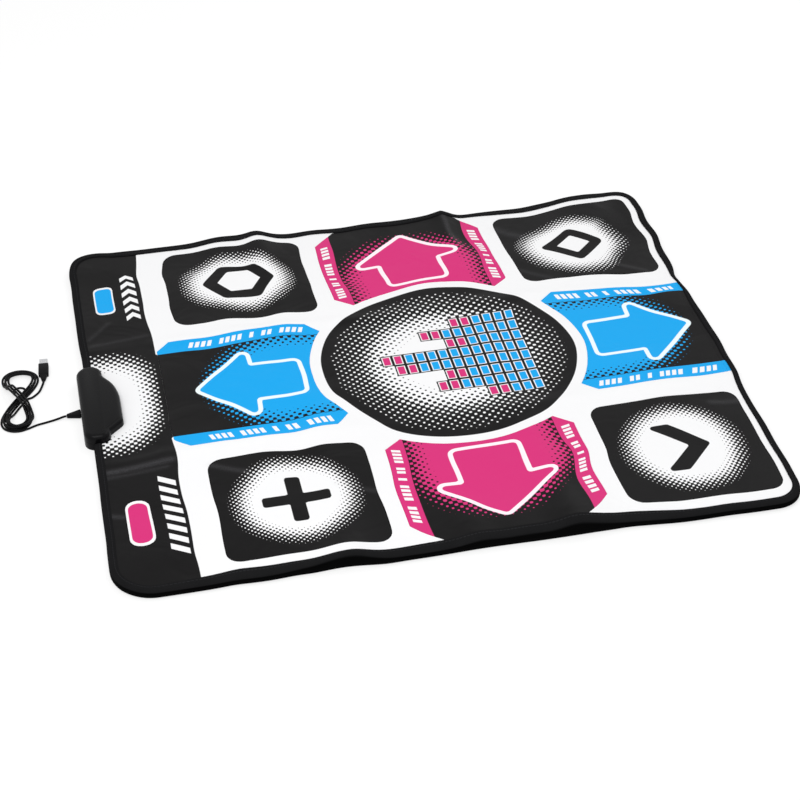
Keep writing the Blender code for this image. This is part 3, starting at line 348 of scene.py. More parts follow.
# The tape's folded profile: share of its upper lip inward, distance outward, share of the cover's
# height, and what is added to it
TAPE_STEP = 4.0
TAPE_PROFILE = (
    (1.0, 0.0, 1.0, 0.15), (1.0, -0.3, 1.0, 0.7), (1.0, 0.3, 1.0, 1.25), (0.7, 0.0, 1.0, 1.55),
    (0.4, 0.0, 1.0, 1.55), (0.2, 0.0, 1.0, 1.1), (0.08, 0.0, 1.0, 0.1), (0.0, -0.2, 1.0, -1.3),
    (0.0, 0.35, 0.75, 0.0), (0.0, 0.6, 0.5, 0.0), (0.0, 0.35, 0.25, 0.0), (0.0, -0.3, 0.0, 1.8),
    (0.0, -1.4, 0.0, 0.5), (0.0, -3.0, 0.0, 0.0), (0.0, -13.0, 0.0, 0.0), (0.0, -13.0, 0.0, 1.0),
    (0.0, -3.4, 0.0, 1.2), (0.0, -1.2, 0.0, 1.9), (0.0, -0.8, 0.5, 0.0), (0.0, -1.5, 1.0, -1.8),
    (0.0, -3.0, 1.0, 0.1), (0.6, 0.0, 1.0, 0.1),
)

# The upper lip's width along the far edge and the two sides, and at places along the near edge
LIP_FAR = 12.5
LIP_LEFT = 11.0
LIP_RIGHT = 9.5
LIP_NEAR = ((-420.0, 12.0), (-300.0, 17.0), (-165.0, 11.0), (-60.0, 17.0), (190.0, 17.0), (320.0, 11.5))

# The tape's weave, and the stitches' row on its lip, from the lip's inner edge, and where its fold and wall
# start, which are painted darker as shade
WEBBING_RIB = 3.6
WEBBING_ROW = 2.4
WEBBING_PATCH = 35.0
WEBBING_ROUGH = (0.7, 0.9)
RIB_SHARE = 0.08
RIB_DEPTH = 0.25
RIB_STRENGTH = 0.7
STITCH_AT = 5.0
STITCH_HALF = 0.55
STITCH_PITCH = 5.0
STITCH_LENGTH = 3.6
STITCH_DEPTH = 0.5
STITCH_SOFTNESS = 0.4
SHADED_WALL_START = 15.0
SHADED_WALL_SOFTNESS = 1.5
TAPE_SHARP = math.radians(50.0)
TAPE_ARC_STEPS = 30

# The grip sheet: how far it is drawn in from the mat's edge, its dots, whose edge is a range of their
# screen, and its felt's fuzz. FIBRE_DETAIL is the detail of the felt's noise and the tape's
GRIP_INSET = 13.3
GRIP_PITCH = 9.0
GRIP_DOT_EDGE = (0.45, 0.6)
GRIP_DOT_HEIGHT = 0.4
GRIP_ROUGH = (0.95, 0.6)
FUZZ_WIDTH = 1.5
FUZZ_DEPTH = 0.2
FUZZ_STRENGTH = 0.5
FIBRE_DETAIL = 4.0

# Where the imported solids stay, the finish of each node by the start of its name
NODE_FINISHES = {
    "circuit_board": "solder_mask_green",
    "controller_chip": "moulded_epoxy_black",
    "capacitor": "moulded_epoxy_black",
    "crystal": "plated_steel",
    "film_clamp_bar": "moulded_nylon_white",
    "wire_ribbon": "extruded_pvc_black",
    "plug_contact": "gold_plated_brass",
}

# Rigid pieces that show: the name and finish of each one's finer copy, a slot's name and the radius of
# its rounded edges
HARD_PIECES = {
    "upper_shell": ("box_cover", "moulded_abs_black", "box", 0.5),
    "lower_shell": ("box_tray", "moulded_abs_black", "box", 0.5),
    "strain_relief": ("cable_boot", "extruded_pvc_black", "cable", 0.5),
    "plug_overmould": ("plug_grip", "extruded_pvc_black", "cable", 0.6),
    "plug_shell": ("plug_sleeve", "plated_steel", "steel", 0.12),
    "plug_tongue": ("plug_insulator", "moulded_nylon_white", "plastic", 0.15),
    "case_screw_1": ("far_end_screw", "plated_steel", "steel", 0.2),
    "case_screw_2": ("near_end_screw", "plated_steel", "steel", 0.2),
    "case_screw_3": ("far_clamp_screw", "plated_steel", "steel", 0.2),
    "case_screw_4": ("near_clamp_screw", "plated_steel", "steel", 0.2),
}
MERGE_WITHIN = 0.01
FLAT_WITHIN = math.radians(0.5)
SOFT_ANGLE = math.radians(32.0)
BEVEL_STEPS = 3

# The studio: the light of the world and of the floor, and the lamps
WORLD_LIGHT = 0.63
FLOOR_Z = -0.2
FLOOR_HALF = 9000.0
FLOOR_GREY = "EFEFEF"
FLOOR_SHADE = 0.40
FLOOR_GLOW = 0.64
LAMPS = (
    ("key_lamp", (-0.9, -1.3, 2.6), 2.2, 38.0),
    ("fill_lamp", (1.4, 1.0, 2.4), 2.0, 12.0),
)

# The mat: the disc's middle, the corners' radii, and the gaps between its layers' outlines
DISC = np.array((65.0, 3.5))
CORNER_LEFT = 56.0
CORNER_RIGHT = 42.0
NOTCH_GAP = 0.5
COVER_INSET = 2.6
OPENING_GAP = 0.2
SPACER_OPENING = 1.0
SPACER_GROW = 0.6

# The grids that sheets are cut on: their cells, and in cells, their margin, how far round a hole they
# are measured and how far from an edge they relax
CELL = 4.0
ZONE_CELL = 3.0
LAYER_CELL = 8.0
GRID_MARGIN = 1.5
HOLE_REACH = 3
RELAX_REACH = 4
RELAX_ROUNDS = 6
FILL_ROUNDS = 3

# The shares of the mat's waves that a sheet's bottom and top faces follow
WITH_WAVES = (1.0, 1.0)
ON_THE_FLOOR = (0.0, 1.0)
FLAT = (0.0, 0.0)

# Outlines: points of an arc, and what is taken as one height, a mitre and a sharp corner
ARC_STEPS = 12
ROUND_STEPS = 5
SAME_HEIGHT = 0.05
LEAST_LEAN = 0.5
SHARP_TURN = math.radians(25.0)
SHEET_SHARP = math.radians(40.0)

# Holes of the spacer pads: each arrow's as (outward, across), the corners' and the pills' by their spread
HOLE_SIDES = 24
HOLE_RADIUS = 18.0
PILL_HOLE_RADIUS = 9.0
ARROW_HOLES = ((240.0, 0.0), (262.0, -78.0), (262.0, 78.0), (330.0, -45.0), (330.0, 45.0))
CORNER_HOLE_SPREAD = 58.0
PILL_HOLE_SPREAD = 20.0

# The cable, on the same route as the solids. Its bundle is a figure eight whose phase grows by two pi
# a turn, and its last half turn crosses over the others
CABLE_DIAMETER = 3.4
CABLE_RADIUS = CABLE_DIAMETER / 2
HANK_AT = (-560.0, 54.5)
HANK_TILT = math.radians(-5.4)
UPPER_LOBE = (20.0, 64.0)
LOWER_LOBE = (18.5, 70.0)
STRAND_PITCH = CABLE_DIAMETER + 0.85
HANK_START = 1.42 * math.pi
HANK_END = 12.0 * math.pi
FIRST_LOBE_SCALE = 0.52
FIRST_LOBE_END = 3.01 * math.pi
LAYER_TURNS = 2.3
CROSSING_TURN = 0.62 * math.pi
CROSSING_SHIFT = 0.42 * math.pi
CROSSING_RISE = 0.16 * math.pi
CROSSING_PAST = 1.2
FALL_AFTER = 0.32 * math.pi
FALL_OVER = 0.18 * math.pi
BRIDGE_BEFORE = 0.56
BRIDGE_AFTER = 0.28
BRIDGE_RAMP = 0.30
RELIEF_TIP = (-495.6, -2.5, 4.3)
PLUG_AT = (-522.3, 92.5)
PLUG_TURN = math.radians(-3.5)
PLUG_Z = 4.2
SOLID_GAP = 0.3
CABLE_STEP = 2.2
CABLE_ROUNDNESS = 3
HANK_SAMPLES = 6000
ROUTE_POINTS = 60
ROUTE_FINER = 8


def linear(code):
    """Turns an sRGB hex colour such as 2A2728 into linear red, green, blue and alpha."""
    parts = [int(code[start : start + 2], 16) / 255 for start in (0, 2, 4)]
    return (*[part / 12.92 if part <= 0.04045 else ((part + 0.055) / 1.055) ** 2.4 for part in parts], 1.0)


def add(tree, kind, inputs=(), pick=0, **settings):
    """Adds a node with its settings, feeds its inputs, given in order or by name, and returns an output."""
    node = tree.nodes.new("ShaderNode" + kind)
    for key, value in settings.items():
        setattr(node, key, value)
    pairs = inputs.items() if isinstance(inputs, dict) else enumerate(inputs)
    for key, value in pairs:
        if isinstance(value, bpy.types.NodeSocket):
            tree.links.new(value, node.inputs[key])
        else:
            node.inputs[key].default_value = value
    return node.outputs[pick]


def maths(tree, operation, *values):
    """Adds one operation on numbers or sockets."""
    return add(tree, "Math", values, operation=operation)


def overlap(tree, first, *others):
    """Adds the mask where all the given masks overlap."""
    for other in others:
        first = maths(tree, "MULTIPLY", first, other)
    return first


def off_middle(tree, turns):
    """Adds how far a number is from the middle between the whole numbers beside it."""
    return maths(tree, "ABSOLUTE", maths(tree, "SUBTRACT", maths(tree, "FRACT", turns), 0.5))


def noise(tree, place, size, detail=2.0, distortion=0.0):
    """Adds a noise whose patches are about as wide as a size in millimetres."""
    inputs = {"Vector": place, "Scale": 1 / (size * MM), "Detail": detail, "Distortion": distortion}
    return add(tree, "TexNoise", inputs)


def ramp(tree, value, start=(0.0, 1.0), end=(0.0, 1.0), shape="LINEAR"):
    """Adds a value that runs over the end range while another runs over the start range."""
    inputs = {0: value, 1: start[0], 2: start[1], 3: end[0], 4: end[1]}
    return add(tree, "MapRange", inputs, interpolation_type=shape)


def raised(tree, height, depth, strength=1.0, under=None):
    """Adds a surface that a height raises, by a depth in millimetres at most, on top of another one."""
    inputs = {"Strength": strength, "Distance": depth * MM, "Height": height}
    if under is not None:
        inputs["Normal"] = under
    return add(tree, "Bump", inputs)


def object_place(tree):
    """Adds a point's place on its own object."""
    return add(tree, "TexCoord", pick=3)


def point_number(tree, name):
    """Adds the number that give_number gave each point under a name."""
    return add(tree, "Attribute", pick=2, attribute_name=name)


def map_place(tree, name):
    """Adds the two parts of a point's place on one of its piece's maps, in millimetres."""
    split = add(tree, "SeparateXYZ", (add(tree, "UVMap", uv_map=name),)).node
    return [maths(tree, "MULTIPLY", output, 1 / MM) for output in split.outputs[:2]]


def below(tree, value, limit, softness=MASK_SOFTNESS):
    """Adds a mask: 1 where a distance in millimetres is under a limit, with a soft edge."""
    return ramp(tree, value, (limit + softness / 2, limit - softness / 2))


def blend(tree, mask, under, over):
    """Adds a mix of two colours, each a hex code or a socket."""
    under, over = (linear(color) if isinstance(color, str) else color for color in (under, over))
    return add(tree, "Mix", {0: mask, 6: under, 7: over}, pick=2, data_type="RGBA")


def staggered(tree, place, pitch):
    """Adds a screen, cos(2 pi x / pitch) cos(2 pi y / pitch), whose peaks lie in staggered rows."""
    turns = add(tree, "VectorMath", {0: place, 3: 2 * math.pi / (pitch * MM)}, operation="SCALE")
    split = add(tree, "SeparateXYZ", (turns,)).node
    return maths(tree, "MULTIPLY", *[maths(tree, "COSINE", output) for output in split.outputs[:2]])


def halftone(tree, pitch):
    """Adds a printer's halftone: 1 where ink dots cover the tone's share of the surface.

    Ink lies where SCREEN_MIDDLE, SCREEN_SWING of a staggered screen and SCREEN_GAIN of the tone add up
    to about 1.
    """
    screen = staggered(tree, add(tree, "UVMap", uv_map="print"), pitch)
    screen = maths(tree, "MULTIPLY_ADD", screen, SCREEN_SWING, SCREEN_MIDDLE)
    level = maths(tree, "MULTIPLY_ADD", point_number(tree, "tone"), SCREEN_GAIN, screen)
    return ramp(tree, level, SCREEN_EDGE, shape="SMOOTHSTEP")


def make_material(name, paint, specular, metallic):
    """Makes a material: paint(tree) returns its colour, its roughness and its normal, as sockets."""
    made = bpy.data.materials.new(name)
    made.use_nodes = True
    tree = made.node_tree
    shader = tree.nodes["Principled BSDF"]
    shader.inputs["Metallic"].default_value = metallic
    shader.inputs["Specular IOR Level"].default_value = specular
    for socket, value in zip(("Base Color", "Roughness", "Normal"), paint(tree)):
        tree.links.new(value, shader.inputs[socket])
    return made


def ease(value):
    """Rises smoothly from 0 to 1 as the value does."""
    value = np.clip(value, 0.0, 1.0)
    return value * value * (3 - 2 * value)


def bump(offset, width):
    """Returns a bell, 1 at no offset and about 0.37 at one width."""
    return np.exp(-((offset / width) ** 2))


def reach_along(points):
    """Returns how far along a line through points each point is."""
    return np.concatenate([[0.0], np.cumsum(np.linalg.norm(np.diff(points, axis=0), axis=1))])


def respaced(points, count):
    """Spreads points evenly along a line through the given points."""
    reach = reach_along(points)
    stations = np.linspace(0.0, reach[-1], count)
    return np.stack([np.interp(stations, reach, values) for values in points.T], axis=1)


def stepped(points, step):
    """Spreads points evenly along a line through the given points, a step or a little more apart."""
    return respaced(points, int(reach_along(points)[-1] / step) + 1)


def arc(centre, radius, start, end, steps):
    """Returns points of an arc between two angles in degrees."""
    angle = np.radians(np.linspace(start, end, steps))
    return np.stack([centre[0] + radius * np.cos(angle), centre[1] + radius * np.sin(angle)], axis=1)


def to_segment(x, y, start, end):
    """Returns the distance of points from a straight piece between two points."""
    run = np.subtract(end, start)
    share = np.clip(((x - start[0]) * run[0] + (y - start[1]) * run[1]) / (run @ run), 0.0, 1.0)
    return np.hypot(x - start[0] - share * run[0], y - start[1] - share * run[1])


def middle_of(outline):
    """Returns the middle of the box round an outline."""
    return (outline.min(axis=0) + outline.max(axis=0)) / 2


def grown(outline, distance):
    """Moves each side of a counterclockwise outline outward by a distance, with mitred corners."""
    into = outline - np.roll(outline, 1, axis=0)
    into /= np.linalg.norm(into, axis=1)[:, None]
    out = np.roll(into, -1, axis=0)
    normal = np.stack([into[:, 1] + out[:, 1], -into[:, 0] - out[:, 0]], axis=1)
    normal /= np.linalg.norm(normal, axis=1)[:, None]
    lean = normal[:, 0] * into[:, 1] - normal[:, 1] * into[:, 0]
    return outline + normal * (distance / np.maximum(lean, LEAST_LEAN))[:, None]


def sharp_corners(outline):
    """Returns an outline's corners that turn by more than SHARP_TURN."""
    into = outline - np.roll(outline, 1, axis=0)
    out = np.roll(outline, -1, axis=0) - outline
    cosine = (into * out).sum(axis=1) / np.linalg.norm(into, axis=1) / np.linalg.norm(out, axis=1)
    return outline[cosine < math.cos(SHARP_TURN)]


def to_outline(points, outline):
    """Returns each point's distance to an outline, negative inside it, and its nearest point there.

    A point is inside where a line from it towards +X crosses the outline an odd number of times.
    """
    side = np.roll(outline, -1, axis=0) - outline
    away = points[:, None, :] - outline
    share = np.clip((away * side).sum(axis=2) / (side**2).sum(axis=1), 0.0, 1.0)
    near = outline + share[..., None] * side
    gap = np.linalg.norm(points[:, None, :] - near, axis=2)
    best = gap.argmin(axis=1)
    rows = np.arange(len(points))
    level = points[:, None, 1]
    crosses = (outline[:, 1] > level) != (outline[:, 1] + side[:, 1] > level)
    rise = np.where(side[:, 1] == 0.0, 1.0, side[:, 1])
    at = outline[:, 0] + (level - outline[:, 1]) * side[:, 0] / rise
    inside = (crosses & (points[:, None, 0] < at)).sum(axis=1) % 2 == 1
    return np.where(inside, -1.0, 1.0) * gap[rows, best], near[rows, best]


def rounded(corners, radii):
    """Returns an outline through corners, each replaced by a few points of an arc of its own radius.

    The arc touches both sides at radius / tan(half the corner's angle) from the corner.
    """
    points = []
    for index, (corner, radius) in enumerate(zip(corners, radii)):
        back = np.subtract(corners[index - 1], corner)
        ahead = np.subtract(corners[(index + 1) % len(corners)], corner)
        back, ahead = back / np.linalg.norm(back), ahead / np.linalg.norm(ahead)
        half = math.acos(np.clip(back @ ahead, -1.0, 1.0)) / 2
        middle = (back + ahead) / np.linalg.norm(back + ahead)
        centre = corner + middle * radius / math.sin(half)
        turn = np.linspace(half - math.pi / 2, math.pi / 2 - half, ROUND_STEPS)[:, None]
        side = (back - ahead) / np.linalg.norm(back - ahead)
        points.append(centre + radius * (-middle * np.cos(turn) - side * np.sin(turn)))
    return np.vstack(points)


def rectangle(size):
    """Returns the four corners of a rectangle round the origin, counterclockwise."""
    x, y = size[0] / 2, size[1] / 2
    return [(-x, -y), (x, -y), (x, y), (-x, y)]


def enclosed(points, quads):
    """Returns a sum that is positive where quads face away from the space they enclose."""
    a, b, c, d = (points[quads[:, corner]] for corner in range(4))
    first = np.einsum("ij,ij->i", a, np.cross(b, c))
    second = np.einsum("ij,ij->i", a, np.cross(c, d))
    return float((first + second).sum())


def toned(radius, tones):
    """Returns a halftone's share at a radius, from a list of radii with their shares."""
    return np.interp(radius, *zip(*tones))


def extent(node):
    """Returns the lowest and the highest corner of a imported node, in millimetres."""
    return [np.array(corner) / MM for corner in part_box(node)]


def heights(node):
    """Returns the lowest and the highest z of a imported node, in millimetres."""
    return [corner[2] for corner in extent(node)]


def rim(node):
    """Returns a flat node's outline, counterclockwise: its top corners by their angle round its middle."""
    mesh = bpy.data.objects[node].data
    points = np.empty(len(mesh.vertices) * 3)
    mesh.vertices.foreach_get("co", points)
    points = points.reshape(-1, 3) / MM
    top = points[points[:, 2] > points[:, 2].max() - SAME_HEIGHT, :2]
    corners = np.unique(np.round(top, 2), axis=0)
    away = corners - middle_of(corners)
    return corners[np.argsort(np.arctan2(away[:, 1], away[:, 0]))]


def openings(gap):
    """Returns the ten zones' outlines, each grown by a gap."""
    return [grown(rim(zone + "_step_pad"), gap) for zone in ZONES]


def mat_corners():
    """Returns the lowest x and y of the mat and the highest, in millimetres."""
    low, high = extent("edge_tape")
    return *low[:2], *high[:2]


def mat_edge(inset, notch, steps):
    """Returns the mat's edge from the notch's near side round to its far side, drawn in by an inset."""
    left, near, right, far = mat_corners()
    low, high = extent("lower_shell")
    wide, tight = CORNER_LEFT - inset, CORNER_RIGHT - inset
    left, near, right, far = left + inset, near + inset, right - inset, far - inset
    return np.vstack(
        [
            [(left, low[1] - notch)],
            arc((left + wide, near + wide), wide, 180, 270, steps),
            arc((right - tight, near + tight), tight, 270, 360, steps),
            arc((right - tight, far - tight), tight, 0, 90, steps),
            arc((left + wide, far - wide), wide, 90, 180, steps),
            [(left, high[1] + notch)],
        ]
    )


def mat_outline(inset, notch, tail=False):
    """Returns the mat's outline, drawn in by an inset, with the notch that the control box fills.

    With tail, the film's tail runs from the notch into the box.
    """
    edge = mat_edge(inset, notch, ARC_STEPS)
    inner = BOX_RIGHT + notch
    lower, upper = NOTCH_CORNERS
    middle = np.mean(extent("lower_shell"), axis=0)[1]
    sides = (middle + TAIL_WIDTH / 2, middle - TAIL_WIDTH / 2)
    way = [(inner, sides[0]), (TAIL_END, sides[0]), (TAIL_END, sides[1]), (inner, sides[1])]
    return np.vstack(
        [
            edge,
            arc((inner - upper, edge[-1, 1] - upper), upper, 90, 0, ROUND_STEPS),
            *([way] if tail else []),
            arc((inner - lower, edge[0, 1] + lower), lower, 0, -90, ROUND_STEPS),
        ]
    )


def off_box(beside, past):
    """Returns 0 round the control box and 1 away from it, by distances beside it and past its ends."""
    gap = np.hypot(np.maximum(beside, 0.0), np.maximum(past, 0.0))
    return ease((gap - BOX_FLAT) / BOX_FADE)


def swell(x, y):
    """Returns how far the cover lies above its flat height: edge waves, packing folds and slow waves.

    Edge waves fall off inward as a bell of the distance to their edge. All of it fades to nothing
    round the control box, and the sum is kept above zero by 0.5 (s + sqrt(s^2 + 1)).
    """
    left, near, right, far = mat_corners()
    edges = (
        (FAR_WAVES, x, np.minimum(y - far, 0.0)),
        (NEAR_WAVES, x, np.maximum(y - near, 0.0)),
        (RIGHT_WAVES, y, np.minimum(x - right, 0.0)),
    )
    total = np.zeros(np.shape(x))
    for waves, along, inward in edges:
        for at, width, height in waves:
            total += height * bump(along - at, width) * bump(inward, EDGE_REACH)
    for folds, across in ((FOLDS_ACROSS, x), (FOLDS_ALONG, y)):
        for at, width, height in folds:
            total += height * bump(across - at, width)
    for along, across, phase, height in SLOW_WAVES:
        total += height * np.sin(2 * math.pi * MM * (along * x + across * y) + phase)
    for start, end, width, height, _ in CREASES:
        total += height * bump(to_segment(x, y, start, end), width)
    low, high = extent("upper_shell")
    total = 0.5 * (total + np.sqrt(total**2 + 1.0))
    return total * off_box(x - high[0], np.maximum(y - high[1], low[1] - y))


def crease_wear_and_sheen(plan):
    """Returns how far creases lighten the print at each point, from 0 to 1: partly whitening of the folded
    PVC, partly painted sheen.
    """
    total = np.zeros(len(plan))
    for start, end, width, _, wear_and_sheen in CREASES:
        total = np.maximum(total, wear_and_sheen * bump(to_segment(plan[:, 0], plan[:, 1], start, end), width))
    return total


def cover_top(x, y):
    """Returns the height of the cover's top face."""
    return heights("printed_cover")[1] + swell(x, y)


def pull_shares(plan, pulls, width):
    """Returns each pull's share of the shift at each point.

    It is a bell of the distance, over the sum of all bells and a constant, by which the shift fades out.
    """
    near = bump(np.linalg.norm(plan[:, None, :] - pulls[:, :2], axis=2), width)
    return near / (near.sum(axis=1, keepdims=True) + PULL_FADE)


def drift(plan):
    """Returns how far the soft mat's points lie from the flat print's place, sideways.

    The broad pulls are shared out as they are. The fine pulls' strengths are solved first, so that all
    together leave each, but for a little slack, its own shift at its own place. It all fades to nothing
    round the control box.
    """
    broad, fine = np.array(BROAD_PULLS), np.array(FINE_PULLS)
    shares = pull_shares(fine[:, :2], fine, FINE_WIDTH) + PULL_SLACK * np.eye(len(fine))
    strengths = np.linalg.solve(shares, fine[:, 2:])
    shift = pull_shares(plan, broad, BROAD_WIDTH) @ broad[:, 2:]
    shift += pull_shares(plan, fine, FINE_WIDTH) @ strengths
    return shift * off_box(plan[:, 0] - BOX_RIGHT, np.abs(plan[:, 1]) - BOX_HALF)[:, None]


def new_object(name, data):
    """Makes an object in the scene."""
    made = bpy.data.objects.new(name, data)
    bpy.context.scene.collection.objects.link(made)
    return made


def new_piece(name, points, faces, finish, sharp=SHEET_SHARP):
    """Makes an object from points in millimetres and groups of faces, smooth but for its sharp edges."""
    mesh = bpy.data.meshes.new(name)
    mesh.from_pydata((points * MM).tolist(), [], [face for group in faces for face in group.tolist()])
    mesh.shade_smooth()
    mesh.set_sharp_from_angle(angle=sharp)
    mesh.materials.append(finish)
    return new_object(name, mesh)


def give_map(piece, name, places):
    """Gives a piece a map: each point's place on it in millimetres, kept in metres."""
    layer = piece.data.uv_layers.new(name=name)
    corners = np.empty(len(piece.data.loops), dtype=np.int32)
    piece.data.loops.foreach_get("vertex_index", corners)
    layer.data.foreach_set("uv", (places[corners] * MM).ravel())


def give_number(piece, name, values):
    """Gives each point of a piece a number under a name."""
    attribute = piece.data.attributes.new(name, "FLOAT", "POINT")
    attribute.data.foreach_set("value", np.asarray(values, dtype=np.float32))


def lift(piece, rise):
    """Raises each point of a piece by its own height, in millimetres."""
    points = np.empty(3 * len(rise))
    piece.data.vertices.foreach_get("co", points)
    points[2::3] += rise * MM
    piece.data.vertices.foreach_set("co", points)
    piece.data.update()


def place_piece(piece, body, node):
    """Rides a piece on its body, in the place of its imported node."""
    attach(piece, body)
    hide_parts(node)


def edge_distances(flat, outer, holes, reach):
    """Returns each point's distance to a sheet's edge, negative in the sheet, and its nearest place there.

    Only the points within a reach of a hole are measured to it.
    """
    depth, near = to_outline(flat, outer)
    for hole in holes:
        close = ((flat > hole.min(axis=0) - reach) & (flat < hole.max(axis=0) + reach)).all(axis=1)
        gap, place = to_outline(flat[close], hole)
        nearer = -gap > depth[close]
        depth[close] = np.where(nearer, -gap, depth[close])
        near[close] = np.where(nearer[:, None], place, near[close])
    return depth, near


def corner_sum(grid):
    """Returns the sum of the values at each cell's four corners."""
    return grid[:-1, :-1] + grid[1:, :-1] + grid[:-1, 1:] + grid[1:, 1:]


def filled_cells(depth):
    """Returns the cells of a grid that belong to a sheet: those whose corners are inside in the mean.

    Where two cells meet only at a corner, a cell beside both is filled as well.
    """
    filled = corner_sum(depth) < 0
    for _ in range(FILL_ROUNDS):
        a, b, c, d = filled[:-1, :-1], filled[1:, :-1], filled[:-1, 1:], filled[1:, 1:]
        rising, falling = a & d & ~b & ~c, b & c & ~a & ~d
        filled[1:, :-1] |= rising
        filled[:-1, :-1] |= falling
    return filled


def meet_outlines(flat, near, edge, outlines):
    """Moves the points of a sheet's edge onto its outlines, and those next to a sharp corner onto it."""
    at = np.flatnonzero(edge)
    before = flat[at]
    flat[at] = near[at]
    for outline in outlines:
        for corner in sharp_corners(outline):
            flat[at[np.linalg.norm(before - corner, axis=1).argmin()]] = corner


def relax(plan, free):
    """Moves the free points of a grid to the mean of their neighbours, a few times."""
    for _ in range(RELAX_ROUNDS):
        around = np.roll(plan, 1, 0) + np.roll(plan, -1, 0) + np.roll(plan, 1, 1) + np.roll(plan, -1, 1)
        plan[free] = around[free] / 4


def wall_faces(framed, index, total):
    """Returns the walls along a sheet's edge, from its top points down to those a whole sheet on.

    A wall stands between a filled cell and an empty one: first those across x, and then those across y.
    """
    left, right = framed[:-1, 1:-1], framed[1:, 1:-1]
    low, high = framed[1:-1, :-1], framed[1:-1, 1:]
    sides = ((right, left, 0, 1, 1), (left, right, 0, 1, -1), (high, low, 1, 0, -1), (low, high, 1, 0, 1))
    groups = []
    for here, there, step_x, step_y, turn in sides:
        i, j = np.nonzero(here & ~there)
        pair = np.stack([index[i, j], index[i + step_x, j + step_y]], axis=1)[:, ::turn]
        groups.append(np.column_stack([pair, pair[:, ::-1] + total]))
    return groups


def cut_sheet(name, outer, holes, cell, finish, span, lifts=WITH_WAVES):
    """Makes a closed sheet inside an outline, with holes, on a square grid whose edge meets the outlines.

    The points of the sheet's edge lie on the outlines, and those inside relax near it. The sheet fills
    a span of heights, and each of its two faces rises by a share of swell(). Returns the piece and each
    point's place on the flat sheet.
    """
    start = outer.min(axis=0) - GRID_MARGIN * cell
    count = np.ceil((outer.max(axis=0) + GRID_MARGIN * cell - start) / cell).astype(int) + 1
    columns, rows = np.meshgrid(np.arange(count[0]), np.arange(count[1]), indexing="ij")
    flat = np.stack([columns.ravel(), rows.ravel()], axis=1) * cell + start
    depth, near = edge_distances(flat, outer, holes, HOLE_REACH * cell)
    depth = depth.reshape(count)
    filled = filled_cells(depth)
    framed = np.pad(filled, 1)
    touching = corner_sum(framed.astype(int))
    used = touching.ravel() > 0
    meet_outlines(flat, near, used & (touching.ravel() < 4), [outer, *holes])
    plan = flat.reshape(*count, 2)
    relax(plan, (touching == 4) & (np.abs(depth) < RELAX_REACH * cell))

    index = np.full(len(flat), -1)
    total = int(used.sum())
    index[used] = np.arange(total)
    index = index.reshape(count)
    i, j = np.nonzero(filled)
    top = np.stack([index[i, j], index[i + 1, j], index[i + 1, j + 1], index[i, j + 1]], axis=1)
    faces = [top, top[:, ::-1] + total, *wall_faces(framed, index, total)]
    plan = plan.reshape(-1, 2)[used]
    rise = swell(*plan.T)
    under, over = (height + share * rise for height, share in zip(span, lifts))
    moved = plan + drift(plan)
    points = np.vstack([np.column_stack([moved, over]), np.column_stack([moved, under])])
    return new_piece(name, points, faces, finish), np.vstack([plan, plan])


def make_camera():
    """Places the camera at its distance from the point that it looks at, and turns it by its roll."""
    level = math.cos(ELEVATION)
    forward = Vector((-math.sin(AZIMUTH) * level, math.cos(AZIMUTH) * level, -math.sin(ELEVATION)))
    side = forward.cross(Vector((0.0, 0.0, 1.0))).normalized()
    over = side.cross(forward)
    right = side * math.cos(ROLL) + over * math.sin(ROLL)
    up = over * math.cos(ROLL) - side * math.sin(ROLL)
    data = bpy.data.cameras.new("camera")
    data.lens = LENS
    data.sensor_width = SENSOR
    data.clip_start, data.clip_end = CLIP_RANGE
    camera = new_object("camera", data)
    turn = Matrix((right, up, -forward)).transposed()
    place = Vector(LOOK_AT) * MM - forward * DISTANCE * MM
    camera.matrix_world = Matrix.Translation(place) @ turn.to_4x4()
    bpy.context.scene.camera = camera


def smooth_route(points):
    """Reads points from a Catmull-Rom curve through a route's own points, ends included."""
    route = np.array([points[0], *points, points[-1]], dtype=float)
    route[0] = 2 * route[1] - route[2]
    route[-1] = 2 * route[-2] - route[-3]
    t = np.linspace(0.0, len(points) - 1, ROUTE_POINTS * ROUTE_FINER)
    index = np.minimum(t.astype(int), len(points) - 2)
    s = (t - index)[:, None]
    a, b, c, d = (route[index + step] for step in range(4))
    fine = 2 * b + (c - a) * s + (2 * a - 5 * b + 4 * c - d) * s**2 + (3 * b - a - 3 * c + d) * s**3
    return respaced(fine / 2, ROUTE_POINTS)


def hank_strand(phase):
    """Returns the strand's sideways shift and height above the floor at each phase of the hank.

    A phase grows by two pi a turn. The lower layer shifts steadily by one pitch a turn, the strand
    climbs a layer over half a turn, and the upper layer shifts back at the same rate. The last half
    turn crosses over the other strands and comes down beside them.
    """
    edge = STRAND_PITCH * LAYER_TURNS / 2
    climb = HANK_START + 2 * math.pi * LAYER_TURNS
    turns_past_middle = np.abs(phase - climb - math.pi / 2) / (2 * math.pi)
    shift = -edge + STRAND_PITCH * (turns_past_middle - 0.25)
    layer = ease((phase - climb) / math.pi)

    over = HANK_END - CROSSING_TURN
    cross = ease((phase - over) / CROSSING_SHIFT)
    shift = shift + cross * (-edge - CROSSING_PAST * STRAND_PITCH - shift)
    rising = ease((phase - over + CROSSING_RISE) / CROSSING_RISE)
    falling = ease((phase - over - FALL_AFTER) / FALL_OVER)
    layer = layer + rising - 2.0 * falling

    from_crossing = (phase + math.pi) % (2 * math.pi) - math.pi
    from_crossing = np.where(from_crossing > 0, from_crossing - math.pi, from_crossing + math.pi)
    before = ease((from_crossing + BRIDGE_BEFORE) / BRIDGE_RAMP)
    after = 1.0 - ease((from_crossing - BRIDGE_AFTER) / BRIDGE_RAMP)
    height = CABLE_RADIUS + STRAND_PITCH * (layer + 2.0 * before * after)
    return shift, height


